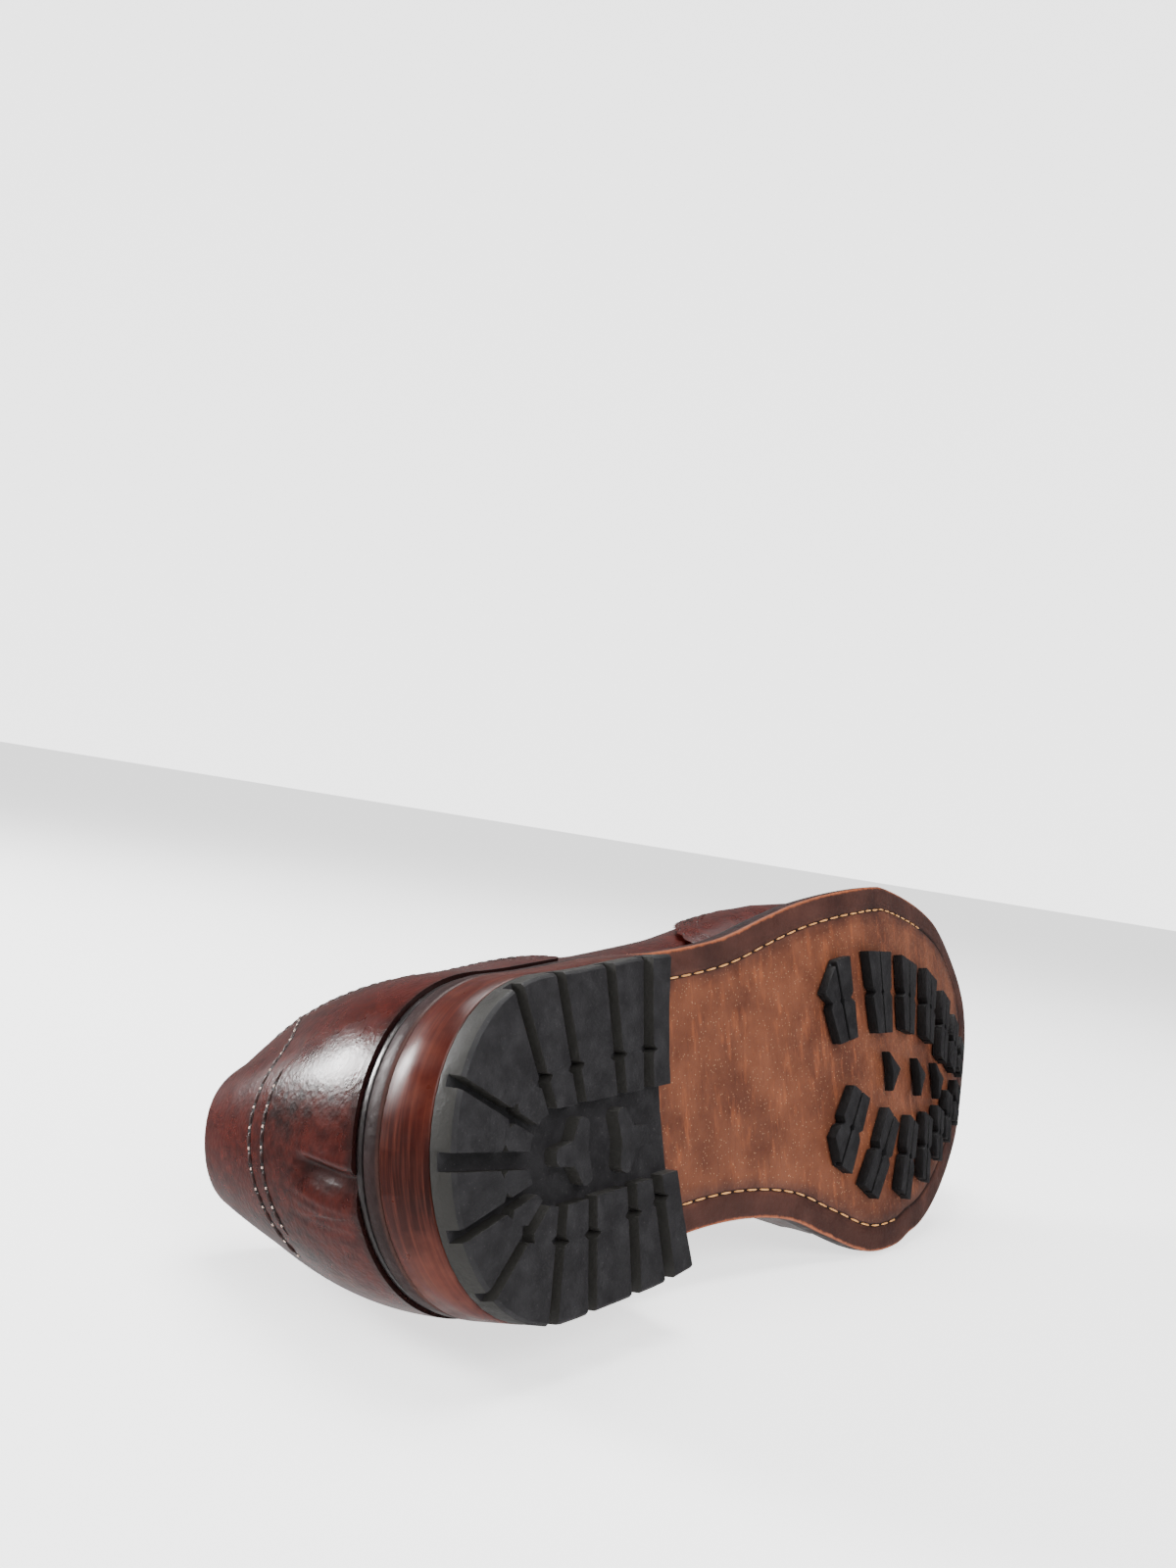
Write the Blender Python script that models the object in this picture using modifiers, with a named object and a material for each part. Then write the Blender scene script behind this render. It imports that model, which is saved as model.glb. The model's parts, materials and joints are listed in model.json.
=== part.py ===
"""A right brogue shoe with a wing cap and a cleated leather sole, lying on its inner side.

Lengths are in metres. The shoe is worked out upright: X runs from heel to toe, Y to the inner
side and Z up from the ground. An empty then lays it on its inner side on the plane Z = 0.
"""

import math
from collections import namedtuple

import bmesh
import bpy
from mathutils import Matrix, Vector

# Sole
SOLE_LENGTH = 0.297
BALL_WIDTH = 0.1105
SEAT_WIDTH = 0.0725
OUTSOLE_THICKNESS = 0.0045
WELT_THICKNESS = 0.0024
WELT_INNER_REACH = 0.0050
TOE_SPRING = 0.0125
TOE_SHIFT = -0.0068
ARCH_RISE = 0.0012
EDGE_ROUND = 0.0007
HEEL_POWER = 2.30
TOE_POWER = {"lateral": 1.32, "medial": 1.80}

# Heel
HEEL_LENGTH = 0.0812
HEEL_STACK = 0.0105
TOP_PIECE = 0.0050
TOP_PIECE_CLEAT = 0.0035
HEEL_CONCAVITY = 0.0041
HEEL_RAKE = 0.0045
HEEL_TAPER = 0.0006
RECESS_BACK = 0.0260
RECESS_HALF_WIDTH = 0.0100
RECESS_OFFSET = 0.0026
RECESS_RUNOUT = 0.0160
CLEAT_ARM = 0.0066
CLEAT_ARM_WIDTH = 0.0038
CLEAT_ARM_ROUND = 0.0008
CLEAT_ARM_SPREAD = math.radians(112)
CLEAT_HUB = 0.0031
CLEAT_ROOT = 0.0008
GROOVE_NOTCH = 0.0022
GROOVE_NOTCH_DEPTH = 0.0014
GROOVE_NOTCH_PLACE = 0.30

# Forefoot cleats
CLEAT_HEIGHT = 0.0036
CLEAT_NOTCH = 0.0015
SLIT_WIDTH = 0.0008
SLIT_DEPTH = 0.0022
SLIT_RUNOUT = 0.0020
DIAMOND_LENGTH = 0.0038
DIAMOND_WIDTH = 0.0023
ARROW_LENGTH = 0.0075
ARROW_HALF_WIDTH = 0.0062
ARROW_SHOULDER = 0.0041
ARROW_SHOULDER_WIDTH = 0.0026
ARROW_DENT = 0.0014

# Upper
WALL = 0.0020
BACK_HEIGHT = 0.0634
ANKLE_HEIGHT = 0.0500
INSTEP_HEIGHT = 0.0820
TOE_BOX_HEIGHT = 0.0345
SPINE_BACK = 0.0370
SPINE_FRONT = 0.2500
BULGE_LEVEL = 0.0220
SEAT_MARGIN = 0.0012
WAIST_MARGIN = 0.0032
FORE_MARGIN = 0.0062
FACING_TOP = 0.1120
THROAT = 0.1720
FACING_GAP = 0.0100

# Overlays, tongue and insole
OVERLAY = 0.0010
INSOLE_THICKNESS = 0.0030
TONGUE_THICKNESS = 0.0026
TONGUE_HALF_WIDTH = 0.0230
TONGUE_TOP = 0.0960
TONGUE_FRONT = 0.1830
TONGUE_TAPER = 0.35
TONGUE_TIP_ROUND = 0.55
TONGUE_TIP_REACH = 0.09
FACING_WIDTH = 0.0270
FACING_TAPER = 0.86
WING_PEAK = 0.1820
WING_LOW = 0.05
COUNTER_HEIGHT = 0.0605
COUNTER_LENGTH = 0.0702
COUNTER_LOW = 0.02

# Eyelets and laces
EYELETS = 5
EYELET_RADIUS = 0.0033
EYELET_HOLE = 0.0020
EYELET_HEIGHT = 0.0009
EYELET_INSET = 0.0085
EYELET_MARGIN = 0.0018
EYELET_RUN = 0.0540
LACE_RADIUS = 0.0012

# Clearances
GAP = 0.0003
CLEAT_GAP = 0.0005
OVERLAY_GAP = 0.0006
TONGUE_GAP = 0.0022
WING_GAP = 0.0010
INSOLE_GAP = 0.0011
MERGE = 0.00002

# Fineness of the solids: stations and rows of the upper, rungs of the sole and of the heel
STATIONS = 31
ROWS = 8
COUNTER_ROWS = 7
SOLE_STEPS = 40
INSOLE_STEPS = 32
HEEL_STEPS = 18
HEEL_ACROSS = 6
INNER_SIDE = 0.6

# Half widths of the sole as shares of half the named width, at shares of the length
OutlineRow = namedtuple("OutlineRow", "along width lateral medial")
OUTLINE = (
    OutlineRow(0.130, SEAT_WIDTH, 0.998, 1.000),
    OutlineRow(0.245, SEAT_WIDTH, 1.052, 1.010),
    OutlineRow(0.330, BALL_WIDTH, 0.690, 0.622),
    OutlineRow(0.420, BALL_WIDTH, 0.733, 0.632),
    OutlineRow(0.490, BALL_WIDTH, 0.832, 0.706),
    OutlineRow(0.540, BALL_WIDTH, 0.898, 0.835),
    OutlineRow(0.600, BALL_WIDTH, 0.947, 0.982),
    OutlineRow(0.660, BALL_WIDTH, 0.972, 1.014),
    OutlineRow(0.700, BALL_WIDTH, 0.976, 0.990),
)

# Underside of the sole: share of the seat's height, of the arch's rise and of the toe spring
ProfileRow = namedtuple("ProfileRow", "along seat arch spring")
PROFILE = (
    ProfileRow(0.00, 1.00, 0.0, 0.00),
    ProfileRow(0.14, 1.00, 0.3, 0.00),
    ProfileRow(0.26, 1.00, 1.0, 0.00),
    ProfileRow(0.36, 0.92, 1.0, 0.00),
    ProfileRow(0.50, 0.50, 0.2, 0.00),
    ProfileRow(0.62, 0.03, 0.0, 0.00),
    ProfileRow(0.66, 0.00, 0.0, 0.00),
    ProfileRow(0.72, 0.00, 0.0, 0.09),
    ProfileRow(0.88, 0.00, 0.0, 0.56),
    ProfileRow(1.00, 0.00, 0.0, 1.00),
)

# Margin of the welt outside the upper
MarginRow = namedtuple("MarginRow", "along margin")
MARGINS = (
    MarginRow(0.00, SEAT_MARGIN),
    MarginRow(0.22, SEAT_MARGIN),
    MarginRow(0.40, WAIST_MARGIN),
    MarginRow(0.62, FORE_MARGIN),
    MarginRow(1.00, FORE_MARGIN),
)

# Cross-sections of the last: crown from toe box (0) to instep (1), swell of each side over the
# feather, the powers of the section's curve, and how far its ridge leans to the inner side
SectionRow = namedtuple("SectionRow", "along rise lateral medial width_power height_power lean")
SECTIONS = (
    SectionRow(0.00, 1.38, 0.020, 0.020, 1.90, 2.0, 0.00),
    SectionRow(0.03, 1.37, 0.020, 0.020, 1.22, 2.0, 0.00),
    SectionRow(0.09, 1.36, 0.020, 0.010, 1.36, 2.0, 0.00),
    SectionRow(0.16, 1.33, 0.025, 0.010, 1.64, 2.0, 0.01),
    SectionRow(0.28, 1.18, 0.065, 0.060, 1.90, 2.0, 0.03),
    SectionRow(0.40, 0.93, 0.140, 0.100, 1.90, 2.0, 0.06),
    SectionRow(0.52, 0.58, 0.130, 0.080, 1.90, 2.1, 0.07),
    SectionRow(0.63, 0.30, 0.060, 0.060, 2.00, 2.1, 0.07),
    SectionRow(0.74, 0.15, 0.050, 0.050, 2.10, 2.2, 0.04),
    SectionRow(0.86, 0.05, 0.050, 0.050, 2.20, 2.3, 0.01),
    SectionRow(1.00, 0.00, 0.050, 0.050, 2.30, 2.4, 0.00),
)

# Height of the top line over the feather, as shares of the back's and the ankle's heights
ToplineRow = namedtuple("ToplineRow", "along back lateral medial")
TOPLINE = (
    ToplineRow(0.00, 1.00, 0.00, 0.00),
    ToplineRow(0.08, 0.85, 0.15, 0.16),
    ToplineRow(0.28, 0.35, 0.66, 0.71),
    ToplineRow(0.55, 0.00, 0.98, 1.05),
    ToplineRow(0.78, 0.00, 1.08, 1.14),
    ToplineRow(0.92, 0.00, 1.36, 1.40),
    ToplineRow(1.06, 0.00, 1.80, 1.80),
)

# Back edge of the wing cap, as distance of its rib on the ridge, by level (0 feather, 1 ridge)
EdgeRow = namedtuple("EdgeRow", "along edge")
WING_EDGE = (
    EdgeRow(0.00, 0.131),
    EdgeRow(0.12, 0.140),
    EdgeRow(0.30, 0.163),
    EdgeRow(0.50, 0.186),
    EdgeRow(0.66, 0.199),
    EdgeRow(0.80, 0.201),
    EdgeRow(0.92, 0.196),
    EdgeRow(1.00, WING_PEAK),
)
# Top edge of the counter, as shares of its height, by share of its own length from the heel's
# back: it follows the top line round the back, falls steeply at both sides and runs forward low
COUNTER_EDGE = (
    EdgeRow(0.00, 1.000),
    EdgeRow(0.14, 0.970),
    EdgeRow(0.22, 0.935),
    EdgeRow(0.28, 0.890),
    EdgeRow(0.34, 0.800),
    EdgeRow(0.41, 0.600),
    EdgeRow(0.48, 0.450),
    EdgeRow(0.57, 0.395),
    EdgeRow(0.74, 0.385),
    EdgeRow(0.88, 0.345),
    EdgeRow(0.95, 0.250),
    EdgeRow(0.99, 0.120),
    EdgeRow(1.00, 0.030),
)

# Forefoot cleats: ends of each bar as shares of the length and of half the ball width,
# and its widths at both ends
CleatRow = namedtuple("CleatRow", "x_out y_out x_in y_in w_out w_in corner")
CLEATS = {
    "lateral": (
        CleatRow(0.573, -0.576, 0.585, -0.139, 0.0148, 0.0087, 0.0085),
        CleatRow(0.658, -0.603, 0.653, -0.148, 0.0165, 0.0100, 0.0),
        CleatRow(0.742, -0.532, 0.720, -0.119, 0.0150, 0.0088, 0.0),
        CleatRow(0.820, -0.424, 0.787, -0.036, 0.0122, 0.0080, 0.0),
        CleatRow(0.874, -0.271, 0.834, 0.110, 0.0090, 0.0072, 0.0),
        CleatRow(0.912, -0.100, 0.869, 0.185, 0.0074, 0.0064, 0.0),
        CleatRow(0.938, 0.050, 0.903, 0.235, 0.0056, 0.0058, 0.0),
    ),
    "medial": (
        CleatRow(0.554, 0.489, 0.598, 0.139, 0.0112, 0.0084, 0.0060),
        CleatRow(0.598, 0.666, 0.655, 0.308, 0.0080, 0.0090, 0.0),
        CleatRow(0.665, 0.748, 0.709, 0.376, 0.0076, 0.0078, 0.0),
        CleatRow(0.728, 0.733, 0.760, 0.389, 0.0066, 0.0076, 0.0),
        CleatRow(0.781, 0.664, 0.806, 0.385, 0.0062, 0.0074, 0.0),
        CleatRow(0.822, 0.590, 0.849, 0.325, 0.0056, 0.0064, 0.0),
        CleatRow(0.858, 0.510, 0.889, 0.300, 0.0050, 0.0058, 0.0),
    ),
}
ArrowRow = namedtuple("ArrowRow", "x y")
ARROWS = (ArrowRow(0.658, 0.068), ArrowRow(0.737, 0.152), ArrowRow(0.803, 0.220))

# Three-armed cleats in the heel's recess: share of the heel's length and where one arm points
HeelCleatRow = namedtuple("HeelCleatRow", "along points_to")
HEEL_CLEATS = (HeelCleatRow(0.520, math.pi), HeelCleatRow(0.745, 0.0))

# Grooves of the heel's top piece as shares of the heel's length and of half the seat width
GrooveRow = namedtuple("GrooveRow", "x_out y_out x_in y_in width")
GROOVES = (
    GrooveRow(0.086, -0.470, 0.358, -0.110, 0.0024),
    GrooveRow(0.328, -0.869, 0.430, -0.166, 0.0030),
    GrooveRow(0.490, -0.946, 0.546, -0.193, 0.0031),
    GrooveRow(0.704, -0.993, 0.721, -0.204, 0.0036),
    GrooveRow(0.883, -1.000, 0.846, -0.212, 0.0040),
    GrooveRow(0.068, 0.345, 0.321, 0.215, 0.0026),
    GrooveRow(0.160, 0.703, 0.370, 0.317, 0.0026),
    GrooveRow(0.383, 0.938, 0.444, 0.353, 0.0030),
    GrooveRow(0.536, 0.979, 0.565, 0.364, 0.0030),
    GrooveRow(0.728, 0.957, 0.738, 0.331, 0.0036),
    GrooveRow(0.884, 0.938, 0.854, 0.301, 0.0040),
    GrooveRow(0.037, -0.055, 0.321, 0.041, 0.0036),
)

LATERAL, MEDIAL = -1, 1
SIDE_NAMES = {LATERAL: "lateral", MEDIAL: "medial"}
SEAT_HEIGHT = TOP_PIECE + GAP + HEEL_STACK + GAP


def smooth(places, values, x):
    """Value at x on a smooth curve through the places, level at both ends."""
    if x <= places[0]:
        return values[0]
    if x >= places[-1]:
        return values[-1]
    last = len(places) - 1
    i = next(k for k in range(last) if x <= places[k + 1])

    def slope(k):
        if k in (0, last):
            return 0.0
        return (values[k + 1] - values[k - 1]) / (places[k + 1] - places[k - 1])

    span = places[i + 1] - places[i]
    t = (x - places[i]) / span
    rise = t * t * (3 - 2 * t)
    bend = span * (slope(i) * t * (1 - t) ** 2 - slope(i + 1) * t * t * (1 - t))
    return values[i] + rise * (values[i + 1] - values[i]) + bend


def table_value(rows, column, along):
    return smooth([row.along for row in rows], [getattr(row, column) for row in rows], along)


def length_at(turn):
    """Distance from the heel's back: turn is 0 there and 1 at the toe, closer together at both."""
    return SOLE_LENGTH * (1 - math.cos(math.pi * turn)) / 2


def turn_at(x):
    return math.acos(1 - 2 * min(max(x / SOLE_LENGTH, 0), 1)) / math.pi


def edge_offset(side, x):
    """Distance of the sole's edge from the heel's centre line, to either side."""
    name = SIDE_NAMES[side]
    along = x / SOLE_LENGTH
    places = [row.along for row in OUTLINE]
    widths = [row.width / 2 * getattr(row, name) for row in OUTLINE]
    if along < places[0]:
        back = 1 - along / places[0]
        return side * widths[0] * math.sqrt(max(0.0, 1 - back**HEEL_POWER))
    if along > places[-1]:
        front = (along - places[-1]) / (1 - places[-1])
        width = widths[-1] * math.sqrt(max(0.0, 1 - front ** TOE_POWER[name]))
        return side * width + TOE_SHIFT * front * front * (3 - 2 * front)
    return side * smooth(places, widths, along)


def outline_point(side, turn, inset=0.0):
    """Point of the sole's outline in plan, moved in from the edge by the inset."""
    if turn <= 0:
        return inset, 0.0
    if turn >= 1:
        return SOLE_LENGTH - inset, TOE_SHIFT
    step = min(0.002, turn / 2, (1 - turn) / 2)
    x = length_at(turn)
    run = length_at(turn + step) - length_at(turn - step)
    spread = edge_offset(side, length_at(turn + step)) - edge_offset(side, length_at(turn - step))
    size = math.hypot(run, spread) * side
    return x + inset * spread / size, edge_offset(side, x) - inset * run / size


def sole_bottom(x):
    along = x / SOLE_LENGTH
    return (
        CLEAT_HEIGHT
        + table_value(PROFILE, "seat", along) * (SEAT_HEIGHT - CLEAT_HEIGHT)
        + table_value(PROFILE, "arch", along) * ARCH_RISE
        + table_value(PROFILE, "spring", along) * TOE_SPRING
    )


def welt_bottom(x):
    return sole_bottom(x) + OUTSOLE_THICKNESS + GAP


def feather(x):
    """Height of the line where the upper meets the welt."""
    return welt_bottom(x) + WELT_THICKNESS + GAP


def margin(x):
    return table_value(MARGINS, "margin", x / SOLE_LENGTH)


def section(turn):
    """The last's cross-section at a turn: spine, crown and the shape of its curve."""
    along = length_at(turn) / SOLE_LENGTH
    value = {name: table_value(SECTIONS, name, along) for name in SectionRow._fields[1:]}
    value["x"] = SPINE_BACK + (SPINE_FRONT - SPINE_BACK) * along
    value["y"] = value["lean"] * BALL_WIDTH / 2
    value["crown"] = TOE_BOX_HEIGHT + value["rise"] * (INSTEP_HEIGHT - TOE_BOX_HEIGHT)
    return value


def turn_of_spine(x):
    return turn_at(SOLE_LENGTH * (x - SPINE_BACK) / (SPINE_FRONT - SPINE_BACK))


def on_last(side, turn, level):
    """Point on the last: level is 0 at the feather and 1 at the ridge."""
    cut = section(turn)
    foot_x, foot_y = outline_point(side, turn, margin(length_at(turn)))
    angle = level * math.pi / 2
    height = max(0.0, math.sin(angle)) ** (2 / cut["height_power"])
    swell = height * cut["crown"] / BULGE_LEVEL
    out = max(0.0, math.cos(angle)) ** (2 / cut["width_power"])
    out += cut[SIDE_NAMES[side]] * swell * math.exp(1 - swell) * max(0.0, math.cos(angle))
    base = feather(foot_x) * (1 - height) + feather(cut["x"]) * height
    return Vector(
        (
            cut["x"] + (foot_x - cut["x"]) * out,
            cut["y"] + (foot_y - cut["y"]) * out,
            base + cut["crown"] * height,
        )
    )


def off_last(side, turn, level, rise):
    """Point at a distance outside the last, or inside it for a negative rise."""
    step = 0.004
    low, high = max(0.0, level - step), min(1.0, level + step)
    before, after = max(0.0, turn - step), min(1.0, turn + step)
    along = on_last(side, after, level) - on_last(side, before, level)
    up = on_last(side, turn, high) - on_last(side, turn, low)
    if level >= 1:
        normal = Vector((-along.z, 0, along.x))
    elif turn in (0, 1):
        near = abs(turn - step)
        across = on_last(MEDIAL, near, level) - on_last(LATERAL, near, level)
        normal = across.cross(up) if turn else up.cross(across)
    else:
        normal = along.cross(up) if side == LATERAL else up.cross(along)
    return on_last(side, turn, level) + normal.normalized() * rise


def topline_height(side, turn):
    """Height of the top line over the feather: the table runs to the top of the facings."""
    along = length_at(turn) / length_at(turn_of_spine(FACING_TOP))
    return (
        table_value(TOPLINE, "back", along) * BACK_HEIGHT
        + table_value(TOPLINE, SIDE_NAMES[side], along) * ANKLE_HEIGHT
    )


def top_level(side, turn):
    """Level where the upper ends: its top line, the edge of its facing or the ridge."""
    cut = section(turn)
    if cut["x"] > THROAT:
        return 1.0
    foot_x, foot_y = outline_point(side, turn, margin(length_at(turn)))
    reach = math.hypot(foot_x - cut["x"], foot_y - cut["y"])
    share = min(1.0, topline_height(side, turn) / cut["crown"])
    collar = math.asin(share ** (cut["height_power"] / 2))
    edge = math.acos((FACING_GAP / 2 / reach) ** (cut["width_power"] / 2))
    return min(collar, edge) / (math.pi / 2)


def level_below(side, turn, level, distance):
    """Level that lies a distance down the last from another level."""
    place = on_last(side, turn, level)
    while distance > 0 and level > 0.02:
        level -= 0.01
        lower = on_last(side, turn, level)
        distance -= (lower - place).length
        place = lower
    return level


def new_material(name, color, roughness, metallic=0.0):
    material = bpy.data.materials.new(name)
    material.use_nodes = True
    shader = material.node_tree.nodes["Principled BSDF"]
    shader.inputs["Base Color"].default_value = (*color, 1.0)
    shader.inputs["Roughness"].default_value = roughness
    shader.inputs["Metallic"].default_value = metallic
    return material


def new_object(name, bm, look):
    """Object of the shoe from a mesh under construction, with its own material."""
    bmesh.ops.remove_doubles(bm, verts=bm.verts, dist=MERGE)
    loose = [vertex for vertex in bm.verts if not vertex.link_faces]
    bmesh.ops.delete(bm, geom=loose, context="VERTS")
    mesh = bpy.data.meshes.new(name)
    bm.to_mesh(mesh)
    bm.free()
    obj = bpy.data.objects.new(name, mesh)
    color, roughness = look[0], look[1]
    mesh.materials.append(new_material(name, color, roughness, *look[2:]))
    SHOE.objects.link(obj)
    obj.parent = STAND
    return obj


def solid_from_levels(name, levels, look, band=False):
    """Closed solid through levels of rungs; a band has a hole and joins its last level to its
    first."""
    bm = bmesh.new()
    grids = [[[bm.verts.new(point) for point in rung] for rung in level] for level in levels]
    if not band:
        for grid in (grids[0], grids[-1]):
            for rung, after in zip(grid, grid[1:]):
                for i in range(len(rung) - 1):
                    bm.faces.new((rung[i], rung[i + 1], after[i + 1], after[i]))
    rims = []
    for grid in grids:
        front = grid[-1][1:-1]
        rims.append([rung[0] for rung in grid] + front + [rung[-1] for rung in reversed(grid)])
    pairs = list(zip(rims, rims[1:]))
    if band:
        pairs.append((rims[-1], rims[0]))
    for lower, upper in pairs:
        for i, vertex in enumerate(lower):
            j = (i + 1) % len(lower)
            bm.faces.new((vertex, lower[j], upper[j], upper[i]))
    bmesh.ops.remove_doubles(bm, verts=bm.verts, dist=MERGE)
    bmesh.ops.recalc_face_normals(bm, faces=bm.faces)
    return new_object(name, bm, look)


def sheet(name, columns, look, thickness, outward, closed=False):
    """Shell of even thickness on columns of points, which run round the last."""
    bm = bmesh.new()
    grid = [[bm.verts.new(point) for point in column] for column in columns]
    if closed:
        grid.append(grid[0])
    for column, after in zip(grid, grid[1:]):
        for i in range(len(column) - 1):
            bm.faces.new((column[i], after[i], after[i + 1], column[i + 1]))
    obj = new_object(name, bm, look)
    obj.data.polygons.foreach_set("use_smooth", [True] * len(obj.data.polygons))
    shell = obj.modifiers.new("Wall", "SOLIDIFY")
    shell.thickness = thickness
    shell.offset = 1 if outward else -1
    return obj


def sole_level(inset, height, steps=SOLE_STEPS):
    """Rungs across the sole from heel to toe: the inset and the height are functions of length."""
    rungs = []
    for i in range(steps + 1):
        x = length_at(i / steps)
        ends = [outline_point(side, i / steps, inset(x)) for side in (LATERAL, MEDIAL)]
        rungs.append([(end_x, end_y, height(end_x)) for end_x, end_y in ends])
    return rungs


def make_outsole(look):
    edge = (
        (EDGE_ROUND, 0.0),
        (0.0, EDGE_ROUND),
        (0.0, OUTSOLE_THICKNESS - EDGE_ROUND),
        (EDGE_ROUND, OUTSOLE_THICKNESS),
    )
    levels = [
        sole_level(lambda x, inset=inset: inset, lambda x, up=up: sole_bottom(x) + up)
        for inset, up in edge
    ]
    solid_from_levels("outsole", levels, look)


def make_welt(look):
    def outer(x):
        return EDGE_ROUND / 2

    def inner(x):
        return margin(x) + WALL + WELT_INNER_REACH

    def top(x):
        return welt_bottom(x) + WELT_THICKNESS

    corners = ((outer, welt_bottom), (outer, top), (inner, top), (inner, welt_bottom))
    levels = [sole_level(inset, height) for inset, height in corners]
    solid_from_levels("welt", levels, look, band=True)


def make_insole(look):
    def inset(x):
        return margin(x) + WALL + INSOLE_GAP

    def top(x):
        return feather(x) + INSOLE_THICKNESS

    levels = [sole_level(inset, height, INSOLE_STEPS) for height in (feather, top)]
    solid_from_levels("insole", levels, look)


def heel_level(down, inset, height):
    """Rungs of the heel: down is 0 under the sole and 1 at the tread; the breast is hollow."""
    rungs = []
    for i in range(HEEL_STEPS + 1):
        turn = turn_at(HEEL_LENGTH) * i / HEEL_STEPS
        ends = [outline_point(side, turn, inset + HEEL_TAPER * down) for side in (LATERAL, MEDIAL)]
        rung = []
        for j in range(HEEL_ACROSS + 1):
            over = j / HEEL_ACROSS
            x = ends[0][0] + (ends[1][0] - ends[0][0]) * over
            y = ends[0][1] + (ends[1][1] - ends[0][1]) * over
            x += HEEL_RAKE * down * (1 - min(1, x / HEEL_LENGTH)) ** 2
            x -= HEEL_CONCAVITY * (i / HEEL_STEPS) ** 2 * 4 * over * (1 - over)
            rung.append((x, y, height(x)))
        rungs.append(rung)
    return rungs


def make_heel_stack(look):
    foot = TOP_PIECE + GAP
    down = 1 - foot / SEAT_HEIGHT
    levels = [
        heel_level(down, 0.0, lambda x: foot),
        heel_level(down / 2, 0.0, lambda x: (foot + sole_bottom(x) - GAP) / 2),
        heel_level(0.0, 0.0, lambda x: sole_bottom(x) - GAP),
    ]
    solid_from_levels("heel_stack", levels, look)


def prism_mesh(outline, low, high):
    """Mesh under construction on an outline: low and high are functions of length."""
    bm = bmesh.new()
    rings = [[bm.verts.new((x, y, height(x))) for x, y in outline] for height in (low, high)]
    bm.faces.new(rings[0])
    bm.faces.new(rings[1])
    for i in range(len(outline)):
        j = (i + 1) % len(outline)
        bm.faces.new((rings[0][i], rings[0][j], rings[1][j], rings[1][i]))
    bmesh.ops.recalc_face_normals(bm, faces=bm.faces)
    return bm


def prism(name, outline, low, high):
    """Cutter, or piece to join, on an outline."""
    bm = prism_mesh(outline, low, high)
    mesh = bpy.data.meshes.new(name)
    bm.to_mesh(mesh)
    bm.free()
    obj = bpy.data.objects.new(name, mesh)
    obj.hide_render = True
    obj.display_type = "WIRE"
    CUTTERS.objects.link(obj)
    obj.parent = STAND
    return obj


def apply_tool(obj, tool, operation):
    modifier = obj.modifiers.new(tool.name, "BOOLEAN")
    modifier.operation = operation
    modifier.solver = "EXACT"
    modifier.object = tool


def bar_outline(start, end, start_width, end_width):
    """Four corners of a bar between two points in plan."""
    along = (Vector(end) - Vector(start)).normalized()
    across = Vector((-along.y, along.x))
    return [
        tuple(Vector(point) + across * width / 2 * hand)
        for point, width, hand in (
            (start, start_width, 1),
            (start, start_width, -1),
            (end, end_width, -1),
            (end, end_width, 1),
        )
    ]


def diamond_outline(centre, along, half_length, half_width):
    across = Vector((-along.y, along.x))
    corners = (
        along * half_length,
        across * half_width,
        along * -half_length,
        across * -half_width,
    )
    return [tuple(Vector(centre) + corner) for corner in corners]


def heel_cleat_outline(centre, points_to):
    """Three-armed cleat of the heel: one arm points forward or back, two reach to the sides."""
    turns = (0.0, CLEAT_ARM_SPREAD, 2 * math.pi - CLEAT_ARM_SPREAD, 2 * math.pi)
    outline = []
    for turn, following in zip(turns, turns[1:]):
        arm, crotch = points_to + turn, points_to + (turn + following) / 2
        ray = Vector((math.cos(arm), math.sin(arm)))
        side = Vector((-ray.y, ray.x)) * CLEAT_ARM_WIDTH / 2
        corners = (
            ray * CLEAT_ARM - side,
            ray * (CLEAT_ARM + CLEAT_ARM_ROUND) - side / 2,
            ray * (CLEAT_ARM + CLEAT_ARM_ROUND) + side / 2,
            ray * CLEAT_ARM + side,
            Vector((math.cos(crotch), math.sin(crotch))) * CLEAT_HUB,
        )
        outline += [tuple(Vector(centre) + corner) for corner in corners]
    return outline


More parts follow.
